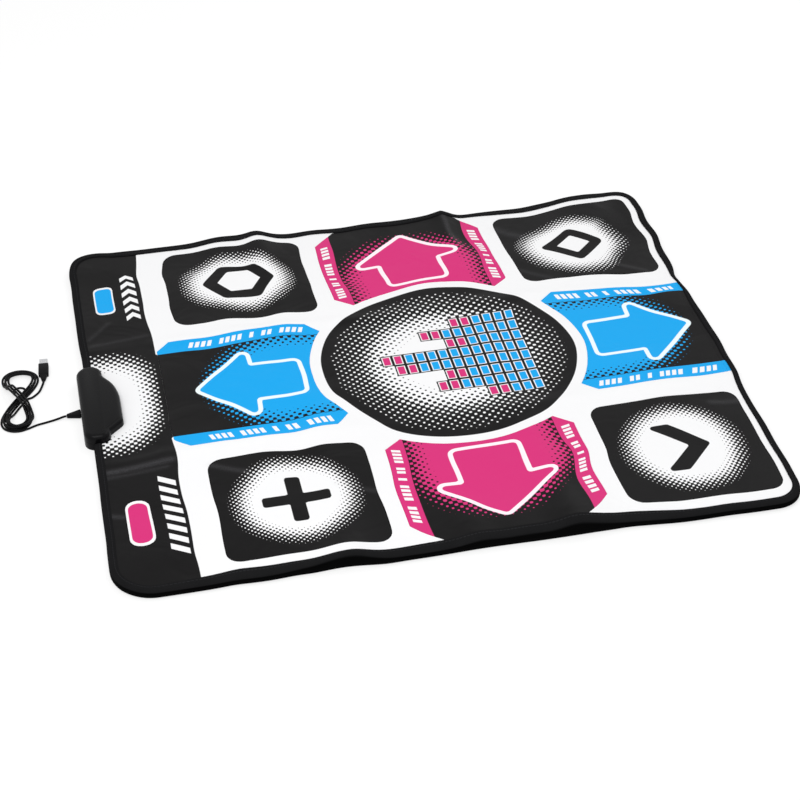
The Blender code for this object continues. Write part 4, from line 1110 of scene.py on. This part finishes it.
def turned(x, y, angle, place):
    """Returns where points lie that are turned by an angle round the origin and then moved to a place."""
    cosine, sine = math.cos(angle), math.sin(angle)
    return place[0] + x * cosine - y * sine, place[1] + x * sine + y * cosine


def hank_points():
    """Returns the centreline of the figure-eight turns: x = A sin 2t, y = B sin t, and its shifts."""
    phase = np.linspace(HANK_START, HANK_END, HANK_SAMPLES)
    upper = np.sin(phase) > 0
    width = np.where(upper, UPPER_LOBE[0], LOWER_LOBE[0])
    length = np.where(upper, UPPER_LOBE[1], LOWER_LOBE[1])
    scale = np.where(upper & (phase < FIRST_LOBE_END), FIRST_LOBE_SCALE, 1.0)
    along = np.stack([2 * width * np.cos(2 * phase), length * np.cos(phase)], axis=1)
    along /= np.linalg.norm(along, axis=1)[:, None]
    shift, height = hank_strand(phase)
    x = scale * width * np.sin(2 * phase) - along[:, 1] * shift
    y = scale * length * np.sin(phase) + along[:, 0] * shift
    line = np.stack([*turned(x, y, HANK_TILT, HANK_AT), height], axis=1)
    return stepped(line, CABLE_STEP)


def cable_line():
    """Returns the cable's centreline: the lead out of the boot, the hank, and the tail to the plug."""
    hank = hank_points()
    enter = (hank[0] - hank[1]) * (1.0, 1.0, 0.0)
    leave = (hank[-1] - hank[-2]) * (1.0, 1.0, 0.0)
    enter *= CABLE_DIAMETER / np.linalg.norm(enter)
    leave *= CABLE_DIAMETER / np.linalg.norm(leave)
    lead = [
        RELIEF_TIP,
        (RELIEF_TIP[0] - CABLE_DIAMETER, RELIEF_TIP[1], RELIEF_TIP[2] - 0.1),
        (-511.0, -4.5, 2.3),
        (-525.0, -7.7, CABLE_RADIUS),
        (-538.0, -10.9, CABLE_RADIUS),
        tuple(hank[0] + enter * 2),
        tuple(hank[0] + enter),
    ]
    tail = [
        tuple(hank[-1] + leave),
        tuple(hank[-1] + leave * 2),
        (-540.5, 57.5, CABLE_RADIUS),
        (-531.0, 67.5, 2.0),
        (-525.5, 79.5, 3.2),
        (*turned(0.0, -SOLID_GAP - CABLE_DIAMETER, PLUG_TURN, PLUG_AT), PLUG_Z),
        (*turned(0.0, -SOLID_GAP, PLUG_TURN, PLUG_AT), PLUG_Z),
    ]
    return stepped(np.vstack([smooth_route(lead), hank, smooth_route(tail)]), CABLE_STEP)


def make_cable(finish):
    line = cable_line()
    curve = bpy.data.curves.new("cable", "CURVE")
    curve.dimensions = "3D"
    curve.bevel_depth = CABLE_RADIUS * MM
    curve.bevel_resolution = CABLE_ROUNDNESS
    curve.use_fill_caps = True
    spline = curve.splines.new("POLY")
    spline.points.add(len(line) - 1)
    spline.points.foreach_set("co", np.column_stack([line * MM, np.ones(len(line))]).ravel())
    spline.use_smooth = True
    curve.materials.append(finish)
    cable = new_object("cable", curve)
    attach(cable, "base")
    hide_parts("cable_lead", "cable_hank", "cable_tail")


def vinyl(tree, color):
    """Adds the embossed, slightly creased face of printed PVC, lightened along creases by whitening and by
    painted sheen: returns its colour, roughness and normal.
    """
    place = object_place(tree)
    fine = noise(tree, place, EMBOSS_WIDTH)
    broad = noise(tree, place, CREASE_WIDTH, distortion=CREASE_BEND)
    embossing = raised(tree, fine, EMBOSS_DEPTH, EMBOSS_STRENGTH)
    normal = raised(tree, broad, CREASE_DEPTH, under=embossing)
    # Lighter grey along creases, in streaks: partly whitening of the folded PVC, partly painted sheen in
    # place of highlights
    streaks = ramp(tree, fine, STREAK_RANGE, STREAK_WEAR_AND_SHEEN)
    wear_and_sheen = maths(tree, "MULTIPLY", overlap(tree, point_number(tree, "crease_wear_and_sheen"), streaks), WEAR_AND_SHEEN_SHARE)
    return blend(tree, wear_and_sheen, color, WEAR_AND_SHEEN_GREY), ramp(tree, broad, end=VINYL_ROUGH), normal


def label_marks(tree, x, y):
    """Adds the white marks beside the two pill zones: chevrons by one, and slanted bars by the other.

    A mark lies where y plus a share of x, or of its size on the chevrons, is in the middle of a pitch.
    """
    marks = []
    for middle, half, rise, pitch, count in START_MARKS, SELECT_MARKS:
        off_x = maths(tree, "SUBTRACT", x, middle[0])
        off_y = maths(tree, "SUBTRACT", y, middle[1])
        wide = maths(tree, "ABSOLUTE", off_x)
        along = maths(tree, "MULTIPLY_ADD", wide if rise > 0 else off_x, abs(rise), off_y)
        off = maths(tree, "MULTIPLY", off_middle(tree, maths(tree, "DIVIDE", along, pitch)), pitch)
        inked = below(tree, off, pitch * MARK_SHARE / 2)
        in_row = below(tree, maths(tree, "ABSOLUTE", along), pitch * count / 2)
        marks.append(overlap(tree, inked, below(tree, wide, half), in_row))
    return maths(tree, "MAXIMUM", *marks)


def equaliser(tree, x, y):
    """Adds the middle disc's stacked bars, which rise towards -X in columns across y.

    A column's number is floor(y / pitch), and its height follows a sum of two cosines of that number.
    Returns masks of the stacks, of their blocks with and without an edge, and of the top blocks.
    """
    pitch_y, pitch_x = STACK_PITCH
    column = maths(tree, "DIVIDE", y, pitch_y)
    number = maths(tree, "FLOOR", column)
    row = maths(tree, "DIVIDE", maths(tree, "SUBTRACT", STACK_FOOT, x), pitch_x)
    level = maths(tree, "FLOOR", row)
    height = STACK_HEIGHT
    for turn, start, swing in STACK_WAVES:
        wave = maths(tree, "COSINE", maths(tree, "MULTIPLY_ADD", number, turn, start))
        height = maths(tree, "MULTIPLY_ADD", wave, swing, height)
    height = maths(tree, "FLOOR", height)
    lit = maths(tree, "LESS_THAN", level, height)
    started = maths(tree, "GREATER_THAN", level, -0.5)
    near = maths(tree, "ABSOLUTE", maths(tree, "ADD", number, 0.5))
    stack = overlap(tree, lit, started, maths(tree, "LESS_THAN", near, STACK_COLUMNS / 2))
    sides = []
    for value, pitch, half in ((column, pitch_y, STACK_BLOCK[0]), (row, pitch_x, STACK_BLOCK[1])):
        sides.append(maths(tree, "MULTIPLY_ADD", off_middle(tree, value), pitch, -half))
    gap = maths(tree, "MAXIMUM", *sides)
    blocks = [overlap(tree, stack, below(tree, gap, limit)) for limit in (STACK_EDGE, 0.0)]
    top = maths(tree, "GREATER_THAN", level, maths(tree, "SUBTRACT", height, STACK_TOP + 0.5))
    return stack, *blocks, top


def paint_cover(tree):
    """The cover's print: white, with a black strip and disc, halftones, label marks and stacked bars."""
    x, y = map_place(tree, "print")
    in_strip = below(tree, x, STRIP_EDGE - DISC[0])
    dots = add(tree, "Mix", {0: in_strip, 2: halftone(tree, DISC_DOTS), 3: halftone(tree, STRIP_DOTS)})
    black = below(tree, point_number(tree, "mark"), 0.0)
    color = blend(tree, overlap(tree, black, maths(tree, "SUBTRACT", 1.0, dots)), WHITE_INK, BLACK_INK)
    color = blend(tree, below(tree, point_number(tree, "trim"), 0.0), color, BLUE_INK)
    color = blend(tree, label_marks(tree, x, y), color, WHITE_INK)
    stack, block, face, top = equaliser(tree, x, y)
    color = blend(tree, stack, color, BLACK_INK)
    color = blend(tree, block, color, WHITE_INK)
    color = blend(tree, face, color, blend(tree, top, BLUE_INK, PINK_INK))
    return vinyl(tree, color)


def strip_bars(tree, out, wide, half, pitch):
    """Adds rows of short slanted bars, in groups of uneven length, along the side strips."""
    lean = maths(tree, "MULTIPLY_ADD", wide, BAR_LEAN, out)
    turns = maths(tree, "DIVIDE", maths(tree, "SUBTRACT", lean, BAR_START), pitch)
    part = maths(tree, "MULTIPLY", maths(tree, "FRACT", turns), pitch)
    number = maths(tree, "FLOOR", turns)
    in_group = maths(tree, "FLOORED_MODULO", number, BAR_GROUP)
    left_out = maths(tree, "COMPARE", number, BAR_LEFT_OUT, 0.5)
    off = maths(tree, "ABSOLUTE", maths(tree, "SUBTRACT", wide, half - STRIP_WIDTH / 2))
    return overlap(
        tree,
        below(tree, part, pitch * BAR_SHARE),
        maths(tree, "LESS_THAN", in_group, BAR_GROUP - 1.5),
        maths(tree, "SUBTRACT", 1.0, left_out),
        below(tree, off, BAR_HALF),
        maths(tree, "GREATER_THAN", number, -0.5),
        maths(tree, "LESS_THAN", number, BAR_COUNT - 0.5),
    )


def paint_arrow(ink, outline_ink, half, pitch):
    """Returns the paint of an arrow zone: its arrow, a halftone glow on black, and coloured side strips.

    half is half the zone's width, of which the strips take the outer STRIP_WIDTH, and pitch is that of
    the strips' bars.
    """

    def paint(tree):
        mark = point_number(tree, "mark")
        out, across = map_place(tree, "print")
        wide = maths(tree, "ABSOLUTE", across)
        color = blend(tree, halftone(tree, ARROW_DOTS), BLACK_INK, ink)
        color = blend(tree, below(tree, wide, half - STRIP_WIDTH), ink, color)
        color = blend(tree, strip_bars(tree, out, wide, half, pitch), color, WHITE_INK)
        color = blend(tree, below(tree, mark, ARROW_STROKE / 2), color, outline_ink)
        color = blend(tree, below(tree, mark, -ARROW_STROKE / 2), color, ink)
        return vinyl(tree, color)

    return paint


def paint_corner(tree):
    """The print of a corner zone: a black ground, a white burst that ends in dots, and a black sign."""
    color = blend(tree, halftone(tree, BURST_DOTS), BLACK_INK, WHITE_INK)
    return vinyl(tree, blend(tree, below(tree, point_number(tree, "mark"), 0.0), color, BLACK_INK))


def paint_pill(ink):
    """Returns the paint of a pill zone: one ink inside a white rim."""

    def paint(tree):
        return vinyl(tree, blend(tree, below(tree, point_number(tree, "mark"), 0.0), WHITE_INK, ink))

    return paint


def paint_webbing(tree):
    """Woven polyester tape: fine ribs, a row of stitches on its lip, and painted shade that darkens its
    fold and wall.
    """
    along, across = map_place(tree, "weave")
    waves = []
    for value, pitch in ((along, WEBBING_RIB), (across, WEBBING_ROW)):
        waves.append(maths(tree, "SINE", maths(tree, "MULTIPLY", value, 2 * math.pi / pitch)))
    height = maths(tree, "MULTIPLY", *waves)
    part = maths(tree, "FRACT", maths(tree, "DIVIDE", along, STITCH_PITCH))
    part = maths(tree, "MULTIPLY", part, STITCH_PITCH)
    off = maths(tree, "ABSOLUTE", maths(tree, "SUBTRACT", across, STITCH_AT))
    inked = below(tree, part, STITCH_LENGTH, STITCH_SOFTNESS)
    thread = overlap(tree, inked, below(tree, off, STITCH_HALF, STITCH_SOFTNESS))
    slow = noise(tree, object_place(tree), WEBBING_PATCH, FIBRE_DETAIL)
    lip = blend(tree, slow, "161617", "202021")
    # Painted shade: past the lip, the fold and the wall are near black, darker than the lip's own colour
    color = blend(tree, below(tree, across, SHADED_WALL_START, SHADED_WALL_SOFTNESS), "010101", lip)
    color = blend(tree, maths(tree, "MULTIPLY_ADD", height, RIB_SHARE, RIB_SHARE), color, "1C1C1E")
    color = blend(tree, thread, color, "2C2C2E")
    normal = raised(tree, thread, STITCH_DEPTH, under=raised(tree, height, RIB_DEPTH, RIB_STRENGTH))
    return color, ramp(tree, slow, end=WEBBING_ROUGH), normal


def paint_grip(tree):
    """Non-slip cloth: a grey felt ground with small rows of rubber dots."""
    place = object_place(tree)
    screen = staggered(tree, place, GRIP_PITCH)
    dots = ramp(tree, screen, GRIP_DOT_EDGE, shape="SMOOTHSTEP")
    fuzz = noise(tree, place, FUZZ_WIDTH, FIBRE_DETAIL)
    color = blend(tree, dots, blend(tree, fuzz, "2A2A2C", "444447"), "19191A")
    normal = raised(tree, fuzz, FUZZ_DEPTH, FUZZ_STRENGTH, raised(tree, dots, GRIP_DOT_HEIGHT))
    return color, ramp(tree, dots, end=GRIP_ROUGH), normal


def paint_grained(shades, grain, depth, rough):
    """Returns the paint of a moulded, coated or foamed surface.

    shades are two colours that a slow noise mixes, grain is the width in millimetres of the surface's
    fine bumps, depth is their height, and rough is the range of its roughness.
    """

    def paint(tree):
        place = object_place(tree)
        color = blend(tree, noise(tree, place, SHADE_PATCH, PATCH_DETAIL), *shades)
        roughness = ramp(tree, noise(tree, place, GLOSS_PATCH, PATCH_DETAIL), end=rough)
        return color, roughness, raised(tree, noise(tree, place, grain), depth)

    return paint


def make_finishes():
    """Makes every material, under the name of its real counterpart."""
    plain = {
        # Gloss-black moulded ABS of the box: a faint spark grain and soft highlights
        "moulded_abs_black": (("070708", "0D0D0F"), 0.9, 0.03, (0.20, 0.32)),
        # Soft PVC of the cable and grips: matte, with the drag marks of extrusion
        "extruded_pvc_black": (("060607", "0E0E10"), 1.2, 0.06, (0.42, 0.58)),
        # Open-cell foam: a coarse, dry cell texture
        "foam_grey": (("5C5C60", "77777B"), 1.5, 0.8, (0.9, 1.0)),
        "foam_white": (("D9D8D2", "EFEEEA"), 1.2, 0.5, (0.9, 1.0)),
        # Polyester film, milky and glossy, and the same printed with carbon ink
        "polyester_film": (("C9CCCB", "DDDFDE"), 6.0, 0.02, (0.15, 0.25)),
        "carbon_ink_film": (("1B1B1D", "28282B"), 2.0, 0.03, (0.5, 0.65)),
        # Glass-fibre board under green solder mask
        "solder_mask_green": (("0F4A2A", "17603A"), 3.0, 0.04, (0.25, 0.4)),
        # Epoxy chip body, matte from its mould
        "moulded_epoxy_black": (("151516", "202022"), 0.5, 0.03, (0.5, 0.65)),
        # Nylon of the film's clamp bar and of the contact carrier inside the plug
        "moulded_nylon_white": (("D8D8D4", "E8E8E5"), 1.0, 0.02, (0.35, 0.5)),
    }
    metals = {
        # Nickel-plated steel: bright with faint drawing marks
        "plated_steel": (("B9BABD", "D2D3D5"), 0.8, 0.02, (0.18, 0.3)),
        "gold_plated_brass": (("D6AE55", "E6C36C"), 0.8, 0.02, (0.2, 0.3)),
    }
    prints = {
        # Calendered PVC, screen-printed: satin, finely embossed and lightly creased
        "printed_pvc_cover": paint_cover,
        "printed_pvc_corner": paint_corner,
        "printed_pvc_arrow_blue": paint_arrow(BLUE_INK, *BLUE_PANEL),
        "printed_pvc_arrow_pink": paint_arrow(PINK_INK, *PINK_PANEL),
        "printed_pvc_pill_blue": paint_pill(BLUE_INK),
        "printed_pvc_pill_pink": paint_pill(PINK_INK),
    }
    looks = [(name, paint_grained(*look), PLASTIC_GLOSS, 0.0) for name, look in plain.items()]
    looks += [(name, paint_grained(*look), METAL_GLOSS, 1.0) for name, look in metals.items()]
    looks += [(name, paint, INK_GLOSS, 0.0) for name, paint in prints.items()]
    looks += [("woven_polyester_tape", paint_webbing, TAPE_GLOSS, 0.0)]
    looks += [("dotted_grip_cloth", paint_grip, GRIP_GLOSS, 0.0)]
    return {look[0]: make_material(*look) for look in looks}


def halftone_tone(plan):
    """Returns the cover's halftone share: by the radius on the disc, and beside the control box by the
    radius of a superellipse of the third power."""
    disc = toned(np.linalg.norm(plan - DISC, axis=1), DISC_TONES)
    away = np.abs(plan - GLOW_AT) / GLOW_HALF
    strip = toned(np.cbrt((away**3).sum(axis=1)), GLOW_TONES) * (plan[:, 0] < GLOW_END)
    return np.where(plan[:, 0] < STRIP_EDGE, strip, disc)


def make_cover(finishes):
    """Makes the printed cover round the ten zones."""
    holes = openings(OPENING_GAP)
    outline = mat_outline(COVER_INSET, NOTCH_GAP)
    ink = finishes["printed_pvc_cover"]
    cover, plan = cut_sheet("vinyl_cover", outline, holes, CELL, ink, heights("printed_cover"))
    from_disc = plan - DISC
    give_map(cover, "print", from_disc)
    give_number(cover, "tone", halftone_tone(plan))
    give_number(cover, "crease_wear_and_sheen", crease_wear_and_sheen(plan))
    black = np.minimum(plan[:, 0] - STRIP_EDGE, np.linalg.norm(from_disc, axis=1) - DISC_RADIUS)
    away = np.abs(from_disc)
    half = np.where(away[:, 1] > away[:, 0], *PANEL_BLACK)
    panel_ends = np.maximum(PANEL_END - away.max(axis=1), away.min(axis=1) - half)
    give_number(cover, "mark", np.minimum(black, panel_ends))
    off = np.abs(away[:, 1] - TRIM_MIDDLE) - STRIP_WIDTH / 2
    give_number(cover, "trim", np.maximum(TRIM_START - from_disc[:, 0], off))
    place_piece(cover, "base", "printed_cover")


def make_layers(finishes):
    """Makes what lies between the cover and the grip sheet: the foam, the film and the spacer foam."""
    outline = mat_outline(COVER_INSET, NOTCH_GAP)
    tailed = mat_outline(COVER_INSET, NOTCH_GAP, tail=True)
    grey, white, film = (finishes[name] for name in ("foam_grey", "foam_white", "polyester_film"))
    core, _ = cut_sheet("foam_core", outline, [], LAYER_CELL, grey, heights("foam_pad"), ON_THE_FLOOR)
    place_piece(core, "base", "foam_pad")
    sheet, _ = cut_sheet("contact_film", tailed, [], LAYER_CELL, film, heights("lower_contact_film"))
    place_piece(sheet, "base", "lower_contact_film")
    holes = openings(SPACER_OPENING)
    spacer, _ = cut_sheet("spacer_layer", outline, holes, LAYER_CELL, white, heights("spacer_foam"))
    place_piece(spacer, "base", "spacer_foam")


def arrow_axes(zone):
    """Returns an arrow's own axes, outward and across."""
    x, y = ARROWS[zone][0]
    return np.array(((x, y), (-y, x)))


def spacer_holes(zone, middle):
    """Returns the holes of a zone's spacer pad, through which the contacts meet."""
    radius = HOLE_RADIUS
    if zone in ARROWS:
        centres = DISC + np.array(ARROW_HOLES) @ arrow_axes(zone)
    elif zone in CORNERS:
        spread = CORNER_HOLE_SPREAD
        centres = [middle] + [middle + (x, y) for x in (-spread, spread) for y in (-spread, spread)]
    else:
        radius = PILL_HOLE_RADIUS
        centres = [middle + (0.0, y) for y in (-PILL_HOLE_SPREAD, PILL_HOLE_SPREAD)]
    return [arc(centre, radius, 0, 360 - 360 / HOLE_SIDES, HOLE_SIDES) for centre in centres]


def make_contact(zone, finishes):
    """Makes what lies under a zone: its carbon-printed patch and its perforated pad of spacer foam.

    The pad is made flat, and is lifted to the mat's waves after that.
    """
    node = zone + "_contact_patch"
    outline = rim(node)
    ink = finishes["carbon_ink_film"]
    patch, _ = cut_sheet(zone + "_carbon_film", outline, [], LAYER_CELL, ink, heights(node))
    place_piece(patch, zone + "_zone", node)

    node = zone + "_spacer_pad"
    outline = grown(rim(zone + "_step_pad"), SPACER_GROW)
    foam = finishes["foam_white"]
    holes = spacer_holes(zone, middle_of(outline))
    low, high = heights(node)
    pad, plan = cut_sheet(zone + "_foam", outline, holes, CELL, foam, (low, high), FLAT)
    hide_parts(node)
    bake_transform(pad)
    lift(pad, swell(*plan.T))


def arrow_outline(tip, base):
    """Returns an arrow on its zone's own axes, outward and across: a wide head and a square tail."""
    head, tail = ARROW_HALF
    half = [(base, head), (base, tail), (ARROW_TAIL, tail)]
    corners = [(tip, 0.0), *half, *[(out, -across) for out, across in half[::-1]]]
    outer, inner, end = ARROW_ROUND
    return rounded(corners, (outer, outer, inner, end, end, inner, outer))


def print_arrow(piece, plan, zone):
    """Prints an arrow zone with its glow and its arrow, and returns the print's own places."""
    _, tip, base = ARROWS[zone]
    local = (plan - DISC) @ arrow_axes(zone).T
    away = np.maximum(local[:, 0] - GLOW_START, 0.0)
    radius = np.hypot(away, local[:, 1]) - GLOW_LEAN * np.maximum(GLOW_START - local[:, 0], 0.0)
    give_number(piece, "tone", np.clip((ARROW_GLOW - radius) / GLOW_FALL, 0.0, 1.0))
    give_number(piece, "mark", to_outline(local, arrow_outline(tip, base))[0])
    return local


def print_corner(piece, plan, zone):
    """Prints a corner zone with its burst and its sign, and returns the print's own places."""
    centre, reach, sign, stroke = CORNERS[zone]
    local = plan - centre
    give_number(piece, "tone", toned(np.linalg.norm(local, axis=1) / reach, BURST_TONES))
    gap = to_outline(local, np.array(sign))[0]
    give_number(piece, "mark", np.abs(gap) - stroke / 2 if stroke else gap - SIGN_ROUND)
    return local


def print_pill(piece, plan, zone):
    """Prints a pill zone inside its white rim, and returns the print's own places."""
    size, radius = PILLS[zone]
    local = plan - middle_of(rim(zone + "_step_pad"))
    give_number(piece, "mark", to_outline(local, rounded(rectangle(size), [radius] * 4))[0])
    return local


def print_zone(piece, plan, zone):
    """Prints a zone by its kind, and returns the print's own places."""
    if zone in ARROWS:
        return print_arrow(piece, plan, zone)
    if zone in CORNERS:
        return print_corner(piece, plan, zone)
    return print_pill(piece, plan, zone)


def make_zones(finishes):
    """Makes the ten printed zones, each cut from the same wavy sheet as the cover round it."""
    for zone, (finish, slot) in ZONES.items():
        make_contact(zone, finishes)
        node = zone + "_step_pad"
        outline = rim(node)
        piece, plan = cut_sheet(zone + "_panel", outline, [], ZONE_CELL, finishes[finish], heights(node))
        give_map(piece, "print", print_zone(piece, plan, zone))
        give_number(piece, "crease_wear_and_sheen", crease_wear_and_sheen(plan))
        place_piece(piece, zone + "_zone", node)


def lip_width(line, normal):
    """Returns the tape's upper lip along its path, mixed by the squares of its normal's parts."""
    places, widths = zip(*LIP_NEAR)
    side = np.where(normal[:, 0] < 0, LIP_LEFT, LIP_RIGHT)
    across = np.where(normal[:, 1] < 0, np.interp(line[:, 0], places, widths), LIP_FAR)
    return side + (across - side) * normal[:, 1] ** 2


def tape_path():
    """Returns the mat's edge from the control box's far side round to its near side, and its normals."""
    line = stepped(mat_edge(0.0, NOTCH_GAP, TAPE_ARC_STEPS)[::-1], TAPE_STEP)
    ahead = np.gradient(line, axis=0)
    ahead /= np.linalg.norm(ahead, axis=1)[:, None]
    return line, np.stack([-ahead[:, 1], ahead[:, 0]], axis=1)


def make_tape(finishes):
    """Makes the edge tape: its folded profile carried along the mat's edge.

    A profile point lies inward of the edge by a share of the lip's width less a few millimetres, and
    at a share of the cover's height there plus a few tenths of a millimetre, so the tape follows the
    cover's waves and keeps to the floor.
    """
    line, normal = tape_path()
    profile = np.array(TAPE_PROFILE)
    outward = profile[:, 1] - lip_width(line, normal)[:, None] * profile[:, 0]
    plan = line[:, None, :] + normal[:, None, :] * outward[..., None]
    stations, around = plan.shape[:2]
    flat = plan.reshape(-1, 2)
    top = cover_top(*flat.T).reshape(stations, around)
    height = top * profile[:, 2] + profile[:, 3]
    points = np.column_stack([flat + drift(flat), height.ravel()])
    i, j = np.meshgrid(np.arange(stations - 1), np.arange(around), indexing="ij")
    here, there = i.ravel() * around, j.ravel()
    after = (there + 1) % around
    sides = np.stack([here + there, here + around + there, here + around + after, here + after], axis=1)
    faces = [sides, np.arange(around)[None, :], np.arange(around)[None, ::-1] + (stations - 1) * around]
    if enclosed(points, sides) < 0:
        faces = [group[:, ::-1] for group in faces]
    piece = new_piece("edge_binding", points, faces, finishes["woven_polyester_tape"], TAPE_SHARP)
    folded = np.stack([profile[:, 1] - LIP_FAR * profile[:, 0], height[0]], axis=1)
    along, across = np.repeat(reach_along(line), around), np.tile(reach_along(folded), stations)
    give_map(piece, "weave", np.column_stack([along, across]))
    place_piece(piece, "base", "edge_tape")
    return piece


def make_grip_sheet(finishes):
    """Makes the non-slip sheet under the mat, inside the tape's lower lip."""
    outline = mat_outline(GRIP_INSET, NOTCH_GAP)
    cloth = finishes["dotted_grip_cloth"]
    piece, _ = cut_sheet("grip_sheet", outline, [], LAYER_CELL, cloth, heights("nonslip_sheet"), FLAT)
    place_piece(piece, "base", "nonslip_sheet")


def make_hard_pieces(finishes):
    """Makes a finer copy of each rigid piece that shows: one closed mesh whose edges a bevel rounds."""
    for node, (name, finish, slot, width) in HARD_PIECES.items():
        mesh = bpy.data.objects[node].data.copy()
        made = bmesh.new()
        made.from_mesh(mesh)
        bmesh.ops.remove_doubles(made, verts=made.verts, dist=MERGE_WITHIN * MM)
        bmesh.ops.dissolve_limit(made, angle_limit=FLAT_WITHIN, verts=made.verts, edges=made.edges)
        made.to_mesh(mesh)
        made.free()
        mesh.name = name
        mesh.materials.clear()
        mesh.materials.append(finishes[finish])
        mesh.shade_smooth()
        mesh.set_sharp_from_angle(angle=SOFT_ANGLE)
        piece = new_object(name, mesh)
        bevel = piece.modifiers.new("rounded", "BEVEL")
        bevel.width = width * MM
        bevel.segments = BEVEL_STEPS
        bevel.limit_method = "ANGLE"
        bevel.angle_limit = SOFT_ANGLE
        bevel.harden_normals = True
        place_piece(piece, "base", node)


def end_surface(tree, output, lit, seen):
    """Ends a tree: rays that show the background meet the seen shader, and all others the lit one."""
    rays = add(tree, "LightPath").node.outputs
    shown = maths(tree, "MAXIMUM", rays["Is Camera Ray"], rays["Is Glossy Ray"])
    shown = maths(tree, "MAXIMUM", shown, rays["Is Transmission Ray"])
    end = tree.nodes.new("ShaderNodeOutput" + output)
    tree.links.new(add(tree, "MixShader", (shown, lit, seen)), end.inputs["Surface"])


def bare_tree(owner):
    """Returns the emptied node tree of a world or a material."""
    owner.use_nodes = True
    owner.node_tree.nodes.clear()
    return owner.node_tree


def make_studio():
    """Makes the world and the floor: white to the camera, and soft grey light on the object."""
    world = bpy.data.worlds.new("studio")
    tree = bare_tree(world)
    soft = add(tree, "Background", (linear("FFFFFF"), WORLD_LIGHT))
    white = add(tree, "Background", (linear("FFFFFF"), 1.0))
    end_surface(tree, "World", soft, white)
    bpy.context.scene.world = world

    corners = [(x * FLOOR_HALF, y * FLOOR_HALF, FLOOR_Z) for x, y in ((-1, -1), (1, -1), (1, 1), (-1, 1))]
    mesh = bpy.data.meshes.new("studio_floor")
    mesh.from_pydata((np.array(corners) * MM).tolist(), [], [(0, 1, 2, 3)])
    paper = bpy.data.materials.new("paper_backdrop")
    tree = bare_tree(paper)
    plain = add(tree, "BsdfDiffuse", (linear(FLOOR_GREY),))
    shaded = add(tree, "BsdfDiffuse", ((*[FLOOR_SHADE] * 3, 1.0),))
    glow = add(tree, "Emission", (linear("FFFFFF"), FLOOR_GLOW))
    end_surface(tree, "Material", plain, add(tree, "AddShader", (shaded, glow)))
    mesh.materials.append(paper)
    new_object("studio_floor", mesh)


def make_lamps():
    """Makes the lamps: round soft boxes that point at the mat's middle."""
    for name, place, size, power in LAMPS:
        data = bpy.data.lights.new(name, "AREA")
        data.shape = "DISK"
        data.size = size
        data.energy = power
        away = Vector(place)
        turn = away.to_track_quat("Z", "Y").to_matrix().to_4x4()
        new_object(name, data).matrix_world = Matrix.Translation(away) @ turn


def finish_nodes(frame, finishes):
    """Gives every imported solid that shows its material."""
    for node, piece in frame["nodes"].items():
        if piece.hide_render:
            continue
        finish = next(finish for start, finish in NODE_FINISHES.items() if node.startswith(start))
        for slot in piece.material_slots:
            slot.material = finishes[finish]


def main():
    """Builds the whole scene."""
    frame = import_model()
    bpy.context.scene.view_settings.view_transform = "Standard"
    make_camera()
    finishes = make_finishes()
    make_hard_pieces(finishes)
    plug = [name for name in frame["nodes"] if name.startswith("plug_contact")]
    plug += [HARD_PIECES[node][0] for node in HARD_PIECES if node.startswith("plug_")]
    make_cable(finishes["extruded_pvc_black"])
    tape = make_tape(finishes)
    make_cover(finishes)
    make_layers(finishes)
    make_zones(finishes)
    make_grip_sheet(finishes)
    finish_nodes(frame, finishes)
    make_studio()
    make_lamps()


main()
